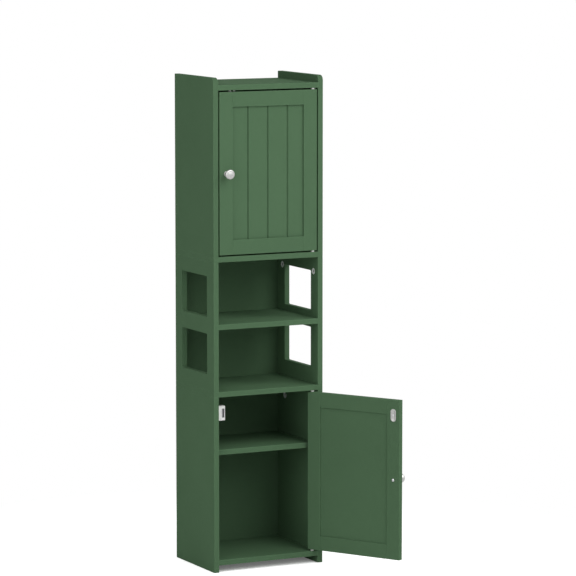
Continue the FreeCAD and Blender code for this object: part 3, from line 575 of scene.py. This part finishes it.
def fit_to_doors(master, places, make, kind, material):
    """Copies a finished piece to both doors, where each copy stands for that door's imported one."""
    names = [f"{door}_{make}_{kind}" for door in DOORS]
    for piece, door in zip(copies(master, places, names), DOORS):
        hand_over(piece, door, f"{door}_{kind}", material)


# Shapes of the fittings

def screw(shank, length, head, height, reach, recess):
    """A round-headed screw with a cross recess: its head above z 0 and its shank below."""
    crown = CROWN_SHARE * height
    rings = [
        (TIP_RADIUS_SHARE * shank, -length),
        (shank, TIP_LENGTH_SHARE * shank - length),
        (shank, 0.0),
        (head, 0.0),
    ]
    for step in range(CROWN_STEPS + 1):
        turn = math.pi / 2 * step / CROWN_STEPS
        rings.append((head / 2 * (1.0 + math.cos(turn)), height - crown + crown * math.sin(turn)))
    piece = turned(rings, SCREW_CORNERS)
    carve(piece, cross_cutter(reach, recess, height, RECESS_DEPTH_SHARE * height, RECESS_TAPER))
    smooth(piece)
    return piece


def knob_rings(sizes, rim, length):
    """Foot with a cove up to the neck, flared head with a round rim, and a shallow dome in a stepped ring."""
    foot, neck, face = sizes.knob_foot, sizes.knob_neck, sizes.knob_face
    cove = foot - neck
    shoulder = length - sizes.knob_dome
    rise = sizes.knob_dome + sizes.knob_sink
    rings = [(foot - KNOB_STEP, 0.0), (foot, KNOB_STEP)]
    rings += arc((foot, 2 * KNOB_STEP + cove), cove, DOWNWARD_ANGLE, INWARD_ANGLE, COVE_STEPS)
    rings.append((neck, length - sizes.knob_head - cove))
    rim_centre = (rim - sizes.knob_rim, shoulder - sizes.knob_rim)
    rings += arc(rim_centre, sizes.knob_rim, RIM_START_ANGLE, UPWARD_ANGLE, RIM_STEPS)
    rings.append((face, shoulder))
    rings.append((face - KNOB_STEP / 2, shoulder - sizes.knob_sink))
    rings += [(face * share, length - rise * share**2) for share in DOME_SHARES]
    return rings


def strike_plate(width, height, thickness, sizes):
    """A plate with round ends and a raised border, its back at z 0."""
    bpy.ops.object.select_all(action="DESELECT")
    bpy.ops.mesh.primitive_cube_add(size=1.0, location=(0, 0, thickness / 2))
    plate = bpy.context.active_object
    bpy.ops.transform.resize(value=(width, height, thickness))
    apply_place()
    bpy.ops.object.mode_set(mode="EDIT")
    bpy.ops.mesh.select_mode(type="EDGE")
    bpy.ops.mesh.select_all(action="DESELECT")
    bpy.ops.object.mode_set(mode="OBJECT")
    points = plate.data.vertices
    for edge in plate.data.edges:
        first, last = (points[index].co for index in edge.vertices)
        edge.select = abs(first.z - last.z) > thickness / 2
    bpy.ops.object.mode_set(mode="EDIT")
    bpy.ops.mesh.bevel(offset=STRIKE_ROUND_SHARE * width, segments=STRIKE_ROUND_SEGMENTS, affect="EDGES")
    bpy.ops.object.mode_set(mode="OBJECT")
    choose_faces(plate, lambda face: face.normal.z > FACING_SHARE)
    bpy.ops.object.mode_set(mode="EDIT")
    bpy.ops.mesh.inset(thickness=sizes.strike_border, depth=0.0)
    bpy.ops.mesh.extrude_region_move(TRANSFORM_OT_translate={"value": (0, 0, -sizes.strike_sink)})
    bpy.ops.object.mode_set(mode="OBJECT")
    ease(plate, STRIKE_EASE)
    smooth(plate)
    return plate


def cam_disc(sizes):
    """A disc with a flat rim and a cross recess in its sunk middle, its rim at z 0. Its recess faces take a second
    material, a dark colour painted as shade.
    """
    inside = CAM_RADIUS - sizes.cam_rim
    floor = -sizes.cam_sink
    rings = [
        (CAM_RADIUS, -CAM_DEPTH),
        (CAM_RADIUS, -CAM_EDGE),
        (CAM_RADIUS - CAM_EDGE, 0.0),
        (inside + CAM_EDGE, 0.0),
        (inside, floor),
        (CAM_FLOOR_SHARE * inside, floor),
    ]
    piece = turned(rings, CAM_CORNERS)
    reach = CAM_CROSS_SHARE * inside
    carve(piece, cross_cutter(reach, CAM_CROSS_HALF, floor, CAM_CROSS_DEPTH, CAM_CROSS_TAPER))
    smooth(piece)
    # Faces inside the recess take the second material, a dark colour painted as shade.
    for face in piece.data.polygons:
        in_painted_shade = face.center.z < -CAM_EDGE and face.center.xy.length < inside
        face.material_index = int(in_painted_shade and face.center.z > -CAM_DEPTH / 2)
    return piece


def cam_places():
    """In the undersides of the panels, and in the inner faces of the sides under the dividers."""
    corners = [(side, row) for side in BOTH for row in BOTH]
    places = []
    for panel in CAM_PANELS:
        low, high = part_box(panel)
        for side, row in corners:
            point = (side * (high.x - CAM_REACH), row * (high.y - PANEL_CAM_INSET), low.z)
            places.append(facing(CARCASS, point, -UP))
    for board, inset in CAM_SIDES.items():
        low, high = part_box(board)
        for side, row in corners:
            point = (side * low.x, row * (high.y - inset), high.z - CAM_REACH)
            places.append(facing(CARCASS, point, -side * RIGHT))
    return places


# Shader nodes

def add(tree, kind, inputs=None, **settings):
    """A node with its settings, whose inputs are given as values or as sockets to link."""
    made = tree.nodes.new(kind)
    for name, value in settings.items():
        setattr(made, name, value)
    for name, value in (inputs or {}).items():
        if isinstance(value, bpy.types.NodeSocket):
            tree.links.new(value, made.inputs[name])
        else:
            made.inputs[name].default_value = value
    return made


def maths(tree, operation, first, second=0.0):
    return add(tree, "ShaderNodeMath", {0: first, 1: second}, operation=operation).outputs[0]


def vector_maths(tree, operation, first, second):
    return add(tree, "ShaderNodeVectorMath", {0: first, 1: second}, operation=operation).outputs[0]


def length_of(tree, vector):
    return add(tree, "ShaderNodeVectorMath", {0: vector}, operation="LENGTH").outputs["Value"]


def scaled(tree, colour, share):
    return add(tree, "ShaderNodeVectorMath", {0: colour, "Scale": share}, operation="SCALE").outputs[0]


def ranged(tree, value, low, high, to_low, to_high):
    ends = {"Value": value, "From Min": low, "From Max": high, "To Min": to_low, "To Max": to_high}
    return add(tree, "ShaderNodeMapRange", ends).outputs["Result"]


def noise(tree, vector, texture):
    inputs = {"Vector": vector, "Scale": 1.0 / texture.size, "Detail": texture.detail}
    made = add(tree, "ShaderNodeTexNoise", inputs)
    return ranged(tree, made.outputs["Fac"], NOISE_LOW, NOISE_HIGH, texture.low, texture.high)


def shared_group(name, inputs, outputs, wire):
    """The shader group of that name, wired the first time that it is asked for."""
    if name in bpy.data.node_groups:
        return bpy.data.node_groups[name]
    tree = bpy.data.node_groups.new(name, "ShaderNodeTree")
    for label, kind in inputs.items():
        tree.interface.new_socket(label, in_out="INPUT", socket_type=f"NodeSocket{kind}")
    for label, kind in outputs.items():
        tree.interface.new_socket(label, in_out="OUTPUT", socket_type=f"NodeSocket{kind}")
    results = wire(tree, add(tree, "NodeGroupInput").outputs)
    add(tree, "NodeGroupOutput", results)
    return tree


def wire_edge_rub_and_highlight(tree, given):
    """Rubbed paint and painted highlight near two of a board's faces at once, in broken stretches."""
    from_low = vector_maths(tree, "SUBTRACT", given["Vector"], given["Low"])
    from_high = vector_maths(tree, "SUBTRACT", given["High"], given["Vector"])
    nearest = vector_maths(tree, "MINIMUM", from_low, from_high)
    parts = add(tree, "ShaderNodeSeparateXYZ", {0: nearest}).outputs
    smallest = maths(tree, "MINIMUM", maths(tree, "MINIMUM", parts["X"], parts["Y"]), parts["Z"])
    largest = maths(tree, "MAXIMUM", maths(tree, "MAXIMUM", parts["X"], parts["Y"]), parts["Z"])
    total = maths(tree, "ADD", maths(tree, "ADD", parts["X"], parts["Y"]), parts["Z"])
    second = maths(tree, "SUBTRACT", maths(tree, "SUBTRACT", total, smallest), largest)
    closeness = maths(tree, "SUBTRACT", 1.0, maths(tree, "DIVIDE", second, given["Width"]))
    broken = noise(tree, given["Vector"], BROKEN_RUB_AND_HIGHLIGHT)
    return {"Mask": maths(tree, "MULTIPLY", maths(tree, "MAXIMUM", closeness, 0.0), broken)}


def edge_rub_and_highlight():
    inputs = {"Vector": "Vector", "Low": "Vector", "High": "Vector", "Width": "Float"}
    return shared_group("Edge rub", inputs, {"Mask": "Float"}, wire_edge_rub_and_highlight)


def wire_satin_paint(tree, given):
    """Faint clouds and mottling in the colour, smoother and lighter rubbed edges, the lightening partly wear and
    partly a painted highlight, orange peel and grit.
    """
    clouds = noise(tree, given["Vector"], CLOUDS)
    mottle = noise(tree, given["Vector"], MOTTLE)
    drift = maths(tree, "MULTIPLY", maths(tree, "ADD", clouds, mottle), given["Cloud"])
    # Lighter rubbed edges: partly wear, partly a painted highlight.
    lift = maths(tree, "MULTIPLY", given["Rub"], RUB_AND_HIGHLIGHT_LIFT)
    shade = maths(tree, "ADD", 1.0, maths(tree, "ADD", drift, lift))
    patchy = noise(tree, given["Vector"], ROUGH_PATCHES)
    polish = maths(tree, "MULTIPLY", given["Rub"], RUB_POLISH)
    peel = noise(tree, given["Vector"], ORANGE_PEEL)
    grit = noise(tree, given["Vector"], GRIT)
    return {
        "Colour": scaled(tree, given["Colour"], shade),
        "Roughness": maths(tree, "SUBTRACT", patchy, polish),
        "Height": maths(tree, "ADD", peel, grit),
    }


def satin_paint():
    inputs = {"Vector": "Vector", "Colour": "Color", "Rub": "Float", "Cloud": "Float"}
    return shared_group("Satin paint", inputs, SKIN, wire_satin_paint)


def wire_plated_metal(tree, given):
    """A faint tarnish, fine grain, and the rings of a turned piece about Z."""
    tarnish = noise(tree, given["Vector"], TARNISH)
    grain = noise(tree, given["Vector"], METAL_GRAIN)
    away = length_of(tree, vector_maths(tree, "MULTIPLY", given["Vector"], ACROSS_Z))
    waves = maths(tree, "SINE", maths(tree, "MULTIPLY", away, 2.0 * math.pi / RING_PITCH))
    rings = maths(tree, "MULTIPLY", waves, given["Rings"])
    spread = maths(tree, "MULTIPLY", maths(tree, "SUBTRACT", grain, NOISE_MIDDLE), given["Grain"])
    rough = maths(tree, "ADD", given["Roughness"], spread)
    return {
        "Colour": scaled(tree, given["Colour"], tarnish),
        "Roughness": maths(tree, "ADD", rough, maths(tree, "MULTIPLY", rings, RING_ROUGHNESS)),
        "Height": maths(tree, "ADD", grain, rings),
    }


def plated_metal():
    inputs = {"Vector": "Vector", "Colour": "Color", "Roughness": "Float", "Grain": "Float", "Rings": "Float"}
    return shared_group("Plated metal", inputs, SKIN, wire_plated_metal)


def wire_moulded_plastic(tree, given):
    """Flow marks in the colour and a fine eroded skin."""
    flow = noise(tree, given["Vector"], FLOW_MARKS)
    skin = noise(tree, given["Vector"], ERODED_SKIN)
    spread = maths(tree, "MULTIPLY", maths(tree, "SUBTRACT", skin, NOISE_MIDDLE), ERODED_ROUGHNESS)
    return {
        "Colour": scaled(tree, given["Colour"], flow),
        "Roughness": maths(tree, "ADD", given["Roughness"], spread),
        "Height": skin,
    }


def moulded_plastic():
    inputs = {"Vector": "Vector", "Colour": "Color", "Roughness": "Float"}
    return shared_group("Moulded plastic", inputs, SKIN, wire_moulded_plastic)


def wire_wood_grain(tree, given):
    """Fine fibres along X with small darker flecks."""
    along = vector_maths(tree, "MULTIPLY", given["Vector"], FIBRE_STRETCH)
    fibres = noise(tree, along, FIBRES)
    flecks = noise(tree, along, FLECKS)
    shade = maths(tree, "SUBTRACT", fibres, maths(tree, "MULTIPLY", flecks, FLECK_SHADE))
    return {
        "Colour": scaled(tree, given["Colour"], shade),
        "Roughness": ranged(tree, flecks, 0.0, 1.0, *WOOD_ROUGHNESS),
        "Height": flecks,
    }


def wood_grain():
    inputs = {"Vector": "Vector", "Colour": "Color"}
    return shared_group("Wood grain", inputs, SKIN, wire_wood_grain)


# Materials

def new_material(name):
    """A material with its tree, its shader and the Object coordinates of what wears it."""
    material = bpy.data.materials.new(name)
    material.use_nodes = True
    tree = material.node_tree
    return material, tree, tree.nodes["Principled BSDF"], add(tree, "ShaderNodeTexCoord").outputs["Object"]


def cover(tree, shader, group, inputs, depth):
    """Puts a group's colour, roughness and relief on the shader."""
    skin = add(tree, "ShaderNodeGroup", inputs, node_tree=group).outputs
    relief = add(tree, "ShaderNodeBump", {"Height": skin["Height"], "Strength": 1.0, "Distance": depth})
    tree.links.new(skin["Colour"], shader.inputs["Base Color"])
    tree.links.new(skin["Roughness"], shader.inputs["Roughness"])
    tree.links.new(relief.outputs["Normal"], shader.inputs["Normal"])


def rgba(colour):
    return (*colour, 1.0)


def own_vector(tree, vector, pivot, turn):
    """Object coordinates as a piece's own axes see them, from their pivot and turn."""
    own = {"Vector": vector, "Location": pivot, "Rotation": turn}
    return add(tree, "ShaderNodeMapping", own, vector_type="TEXTURE").outputs[0]


def paint_material(node, colour, look):
    """Satin paint for one board, which knows where that board's edges are, for the rubbed edges with their painted
    highlight.
    """
    material, tree, shader, place = new_material(f"paint_{node}")
    turn, pivot = rest_turn(BODY_OF[node])
    low, high, _ = own_box(node)
    own_place = own_vector(tree, place, pivot, (0.0, 0.0, turn))
    edges = {"Vector": own_place, "Low": low, "High": high, "Width": look.rub_and_highlight_width}
    rub_and_highlight = add(tree, "ShaderNodeGroup", edges, node_tree=edge_rub_and_highlight()).outputs["Mask"]
    inputs = {"Vector": place, "Colour": rgba(colour), "Rub": rub_and_highlight, "Cloud": look.cloud}
    cover(tree, shader, satin_paint(), inputs, look.peel)
    shader.inputs["Specular IOR Level"].default_value = look.sheen
    return material


def metal_material(name, colour, roughness, grain, place=None, metallic=1.0):
    """Plated metal; a turned piece gives the place whose Z its rings run about."""
    material, tree, shader, vector = new_material(name)
    inputs = {"Vector": vector, "Colour": rgba(colour), "Roughness": roughness, "Grain": grain, "Rings": 0.0}
    if place is not None:
        inputs["Vector"] = own_vector(tree, vector, place.to_translation(), place.to_euler())
        inputs["Rings"] = 1.0
    cover(tree, shader, plated_metal(), inputs, METAL_RELIEF)
    shader.inputs["Metallic"].default_value = metallic
    return material


def plastic_material(name, colour, roughness, gloss=0.0):
    material, tree, shader, vector = new_material(name)
    inputs = {"Vector": vector, "Colour": rgba(colour), "Roughness": roughness}
    cover(tree, shader, moulded_plastic(), inputs, PLASTIC_RELIEF)
    shader.inputs["Coat Weight"].default_value = gloss
    return material


def wood_material(name, colour):
    material, tree, shader, vector = new_material(name)
    cover(tree, shader, wood_grain(), {"Vector": vector, "Colour": rgba(colour)}, WOOD_RELIEF)
    return material


def dress(node, material):
    """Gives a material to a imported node."""
    mesh = frame["nodes"][node].data
    mesh.materials.clear()
    mesh.materials.append(material)


def wear(slot, material):
    """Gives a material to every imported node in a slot."""
    for node, own_slot in SLOT_OF.items():
        if own_slot == slot:
            dress(node, material)


# Floor, light and camera

def seen_directly(tree):
    """1 for rays from the camera, from glossy surfaces and through glass."""
    path = add(tree, "ShaderNodeLightPath").outputs
    bright = maths(tree, "MAXIMUM", path["Is Glossy Ray"], path["Is Transmission Ray"])
    return maths(tree, "MAXIMUM", path["Is Camera Ray"], bright)


def make_floor(studio):
    """A pale floor that keeps the shadow near the cabinet and is white further out."""
    bpy.ops.object.select_all(action="DESELECT")
    bpy.ops.mesh.primitive_plane_add(size=FLOOR_SIZE)
    floor = bpy.context.active_object
    floor.name = "floor"
    material = bpy.data.materials.new("floor")
    material.use_nodes = True
    tree = material.node_tree
    tree.nodes.clear()
    seen = seen_directly(tree)
    away = length_of(tree, add(tree, "ShaderNodeTexCoord").outputs["Object"])
    far = maths(tree, "MULTIPLY", seen, ranged(tree, away, SHADOW_END, WHITE_START, 0.0, 1.0))
    lit = add(tree, "ShaderNodeBsdfDiffuse", {"Color": rgba(studio.floor_colour)}).outputs[0]
    reach = {"Distance": studio.shadow_reach}
    openness = add(tree, "ShaderNodeAmbientOcclusion", reach, samples=OPENNESS_SAMPLES).outputs["AO"]
    uncovered = ranged(tree, openness, 0.0, OPEN_FLOOR, COVERED_LIFT, studio.floor_lift)
    lift = maths(tree, "MULTIPLY", seen, uncovered)
    glow = add(tree, "ShaderNodeEmission", {"Strength": lift}).outputs[0]
    near = add(tree, "ShaderNodeAddShader", {0: lit, 1: glow}).outputs[0]
    white = add(tree, "ShaderNodeEmission", {"Strength": 1.0}).outputs[0]
    shown = add(tree, "ShaderNodeMixShader", {0: far, 1: near, 2: white}).outputs[0]
    add(tree, "ShaderNodeOutputMaterial", {"Surface": shown})
    floor.data.materials.append(material)


def make_world(scene, studio):
    """Even light from all around, behind which the camera sees white."""
    world = bpy.data.worlds.new("studio")
    scene.world = world
    world.use_nodes = True
    tree = world.node_tree
    strength = ranged(tree, seen_directly(tree), 0.0, 1.0, studio.ambient, 1.0)
    background = tree.nodes["Background"]
    background.inputs["Color"].default_value = WHITE
    tree.links.new(strength, background.inputs["Strength"])


def make_softbox(scene, studio, side):
    """A square softbox that looks at the middle of the cabinet. The one behind leaves no sheen on the top."""
    lamp = bpy.data.lights.new(f"{side}_softbox", "AREA")
    lamp.shape = "SQUARE"
    lamp.size = studio.softbox_size
    lamp.energy = getattr(studio, f"{side}_power")
    holder = bpy.data.objects.new(f"{side}_softbox", lamp)
    scene.collection.objects.link(holder)
    place = Vector(getattr(studio, f"{side}_place"))
    low, high = CAD_BOX
    aim = (Vector(low) + Vector(high)) / 2 - place
    holder.location = place
    holder.rotation_euler = aim.to_track_quat("-Z", "Y").to_euler()
    holder.visible_glossy = side != SHEENLESS_SOFTBOX


def make_camera(scene, studio):
    data = bpy.data.cameras.new("camera")
    data.lens = studio.lens
    camera = bpy.data.objects.new("camera", data)
    scene.collection.objects.link(camera)
    camera.location = studio.camera_place
    camera.rotation_euler = (math.pi / 2 - studio.camera_tilt, 0.0, studio.camera_turn)
    scene.camera = camera


# Operators

class CABINET_OT_paint(bpy.types.Operator):
    """Paint the boards, doors and backs"""

    bl_idname = "cabinet.paint"
    bl_label = "Paint Boards and Doors"

    def execute(self, context):
        look = context.scene.cabinet_paint
        colours = {"green_paint": look.colour, "green_back": look.back_colour}
        for node, slot in SLOT_OF.items():
            if slot in colours:
                dress(node, paint_material(node, colours[slot], look))
        return {"FINISHED"}


class CABINET_OT_finishes(bpy.types.Operator):
    """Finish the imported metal, plastic and wooden fittings"""

    bl_idname = "cabinet.finishes"
    bl_label = "Finish Plain Fittings"

    def execute(self, context):
        look = context.scene.cabinet_finishes
        wear("nickel", metal_material("nickel", look.nickel, roughness=0.3, grain=0.15))
        wear("zinc", metal_material("zinc", look.zinc, roughness=0.35, grain=0.2))
        wear("white_nylon", plastic_material("white_nylon", look.nylon, roughness=0.45))
        dress("upper_stop_pegs", plastic_material("glossy_nylon", look.pegs, roughness=0.3, gloss=1.0))
        wear("white_plastic", plastic_material("white_plastic", look.plastic, roughness=0.4))
        wear("ferrite", plastic_material("ferrite", look.ferrite, roughness=0.6))
        wear("beech", wood_material("beech", look.beech))
        return {"FINISHED"}


class CABINET_OT_knobs(bpy.types.Operator):
    """Turn the doors' knobs"""

    bl_idname = "cabinet.knobs"
    bl_label = "Turn Knobs"

    def execute(self, context):
        sizes = context.scene.cabinet_fittings
        colour = context.scene.cabinet_finishes.knob
        low, high, _ = own_box("upper_door_knob")
        rim = (high.x - low.x) / 2
        places = []
        for door in DOORS:
            _, far, middle = own_box(f"{door}_knob")
            places.append(facing(door, (middle.x, far.y, middle.z), -BACKWARD))
        master = turned(knob_rings(sizes, rim, high.y - low.y), KNOB_CORNERS)
        smooth(master)
        names = [f"{door}_turned_knob" for door in DOORS]
        for knob, door, place in zip(copies(master, places, names), DOORS, places):
            material = metal_material(
                f"satin_{door}_knob", colour, roughness=0.36, grain=0.08, place=place, metallic=0.8
            )
            hand_over(knob, door, f"{door}_knob", material)
        return {"FINISHED"}


class CABINET_OT_knob_screws(bpy.types.Operator):
    """Make the screws that hold the knobs"""

    bl_idname = "cabinet.knob_screws"
    bl_label = "Make Knob Screws"

    def execute(self, context):
        low, high, _ = own_box("upper_door_knob_screw")
        head = (high.x - low.x) / 2
        inside = own_box("upper_door_handle_stile")[1].y
        master = screw(
            shank=KNOB_SCREW_SHANK,
            length=inside - low.y,
            head=head,
            height=high.y - inside,
            reach=RECESS_REACH_SHARE * head,
            recess=context.scene.cabinet_fittings.recess_half,
        )
        places = []
        for door in DOORS:
            middle = own_box(f"{door}_knob_screw")[2]
            places.append(facing(door, (middle.x, inside, middle.z), BACKWARD))
        zinc = context.scene.cabinet_finishes.zinc
        material = metal_material("knob_screw_zinc", zinc, roughness=0.3, grain=0.15)
        fit_to_doors(master, places, "crossed", "knob_screw", material)
        return {"FINISHED"}


class CABINET_OT_back_screws(bpy.types.Operator):
    """Make the screws that hold the back panels"""

    bl_idname = "cabinet.back_screws"
    bl_label = "Make Back Screws"

    def execute(self, context):
        inmost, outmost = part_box("back_screws")
        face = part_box("upper_back")[1].y
        master = screw(
            shank=SMALL_SCREW_SHANK,
            length=face - inmost.y,
            head=BACK_SCREW_HEAD,
            height=outmost.y - face,
            reach=RECESS_REACH_SHARE * BACK_SCREW_HEAD,
            recess=context.scene.cabinet_fittings.recess_half,
        )
        across = outmost.x - BACK_SCREW_HEAD
        places = []
        for back in BACKS:
            low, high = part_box(back)
            for level in (low.z + BACK_SCREW_INSET, (low.z + high.z) / 2, high.z - BACK_SCREW_INSET):
                for side in BOTH:
                    places.append(facing(CARCASS, (side * across, face, level), BACKWARD))
        zinc = context.scene.cabinet_finishes.zinc
        material = metal_material("back_screw_zinc", zinc, roughness=0.32, grain=0.2)
        for piece in copies(master, places, numbered("back_screw", places)):
            hand_over(piece, CARCASS, "back_screws", material)
        return {"FINISHED"}


class CABINET_OT_strikes(bpy.types.Operator):
    """Press the strike plates and make their screws"""

    bl_idname = "cabinet.strikes"
    bl_label = "Press Strike Plates"

    def execute(self, context):
        sizes = context.scene.cabinet_fittings
        look = context.scene.cabinet_finishes
        low, high, _ = own_box("upper_door_strike_plate")
        thickness = high.y - low.y
        master = strike_plate(high.x - low.x, high.z - low.z, thickness, sizes)
        places = []
        for door in DOORS:
            near, _, middle = own_box(f"{door}_strike_plate")
            places.append(facing(door, (middle.x, near.y, middle.z), BACKWARD))
        material = metal_material("strike_nickel", look.strike, roughness=0.36, grain=0.15)
        fit_to_doors(master, places, "pressed", "strike_plate", material)

        seat = thickness - sizes.strike_sink
        master = screw(
            shank=SMALL_SCREW_SHANK,
            length=low.y + seat - own_box("upper_door_strike_screw")[0].y,
            head=STRIKE_SCREW_HEAD,
            height=STRIKE_SCREW_HEIGHT,
            reach=STRIKE_SCREW_REACH,
            recess=sizes.recess_half,
        )
        seats = [place @ Matrix.Translation((0, 0, seat)) for place in places]
        material = metal_material("strike_screw_zinc", look.zinc, roughness=0.3, grain=0.15)
        fit_to_doors(master, seats, "crossed", "strike_screw", material)
        return {"FINISHED"}


class CABINET_OT_cam_discs(bpy.types.Operator):
    """Make the cam discs in the panels and the sides"""

    bl_idname = "cabinet.cam_discs"
    bl_label = "Make Cam Discs"

    def execute(self, context):
        look = context.scene.cabinet_finishes
        places = cam_places()
        master = cam_disc(context.scene.cabinet_fittings)
        cast = metal_material("cam_zinc", look.cast, roughness=0.6, grain=0.2, metallic=0.3)
        # The recess gets a dark colour painted as shade.
        recess = metal_material("cam_recess", look.recess, roughness=0.7, grain=0.2, metallic=0.3)
        for piece in copies(master, places, numbered("cam_disc", places)):
            hand_over(piece, CARCASS, "cam_discs", cast, recess)
        return {"FINISHED"}


class CABINET_OT_catch_screws(bpy.types.Operator):
    """Make the screws that hold the magnetic catches"""

    bl_idname = "cabinet.catch_screws"
    bl_label = "Make Catch Screws"

    def execute(self, context):
        low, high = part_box("upper_catch_screws")
        head = (high.y - low.y) / 2
        master = screw(
            shank=SMALL_SCREW_SHANK,
            length=high.x - CATCH_SCREW_HEIGHT - low.x,
            head=head,
            height=CATCH_SCREW_HEIGHT,
            reach=RECESS_REACH_SHARE * head,
            recess=context.scene.cabinet_fittings.recess_half,
        )
        zinc = context.scene.cabinet_finishes.zinc
        material = metal_material("catch_screw_zinc", zinc, roughness=0.3, grain=0.15)
        places = []
        nodes = []
        for name in CUPBOARDS:
            low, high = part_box(f"{name}_catch_screws")
            for level in (low.z + head, high.z - head):
                point = (high.x - CATCH_SCREW_HEIGHT, (low.y + high.y) / 2, level)
                places.append(facing(CARCASS, point, RIGHT))
                nodes.append(f"{name}_catch_screws")
        for piece, node in zip(copies(master, places, numbered("catch_screw", places)), nodes):
            hand_over(piece, CARCASS, node, material)
        return {"FINISHED"}


class CABINET_OT_stage(bpy.types.Operator):
    """Set up the floor, the light and the camera"""

    bl_idname = "cabinet.stage"
    bl_label = "Set the Stage"

    def execute(self, context):
        studio = context.scene.cabinet_studio
        context.scene.view_settings.view_transform = "Standard"
        make_floor(studio)
        make_world(context.scene, studio)
        for side in SOFTBOXES:
            make_softbox(context.scene, studio, side)
        make_camera(context.scene, studio)
        return {"FINISHED"}


class CABINET_PT_sidebar(bpy.types.Panel):
    """The cabinet's steps and settings"""

    bl_idname = "CABINET_PT_sidebar"
    bl_label = "Bathroom Cabinet"
    bl_space_type = "VIEW_3D"
    bl_region_type = "UI"
    bl_category = "Cabinet"

    def draw(self, context):
        for step in STEPS:
            self.layout.operator(step.bl_idname)
        for name, settings in SETTINGS.items():
            for value in settings.__annotations__:
                self.layout.prop(getattr(context.scene, name), value)


STEPS = (
    CABINET_OT_paint,
    CABINET_OT_finishes,
    CABINET_OT_knobs,
    CABINET_OT_knob_screws,
    CABINET_OT_back_screws,
    CABINET_OT_strikes,
    CABINET_OT_cam_discs,
    CABINET_OT_catch_screws,
    CABINET_OT_stage,
)
SETTINGS = {
    "cabinet_paint": CabinetPaint,
    "cabinet_finishes": CabinetFinishes,
    "cabinet_fittings": CabinetFittings,
    "cabinet_studio": CabinetStudio,
}
CLASSES = (*SETTINGS.values(), *STEPS, CABINET_PT_sidebar)


def register():
    for item in CLASSES:
        bpy.utils.register_class(item)
    for name, settings in SETTINGS.items():
        setattr(bpy.types.Scene, name, bpy.props.PointerProperty(type=settings))


def unregister():
    for name in SETTINGS:
        delattr(bpy.types.Scene, name)
    for item in reversed(CLASSES):
        bpy.utils.unregister_class(item)


def main():
    register()
    bpy.ops.cabinet.paint()
    bpy.ops.cabinet.finishes()
    bpy.ops.cabinet.knobs()
    bpy.ops.cabinet.knob_screws()
    bpy.ops.cabinet.back_screws()
    bpy.ops.cabinet.strikes()
    bpy.ops.cabinet.cam_discs()
    bpy.ops.cabinet.catch_screws()
    bpy.ops.cabinet.stage()


if __name__ == "__main__":
    main()
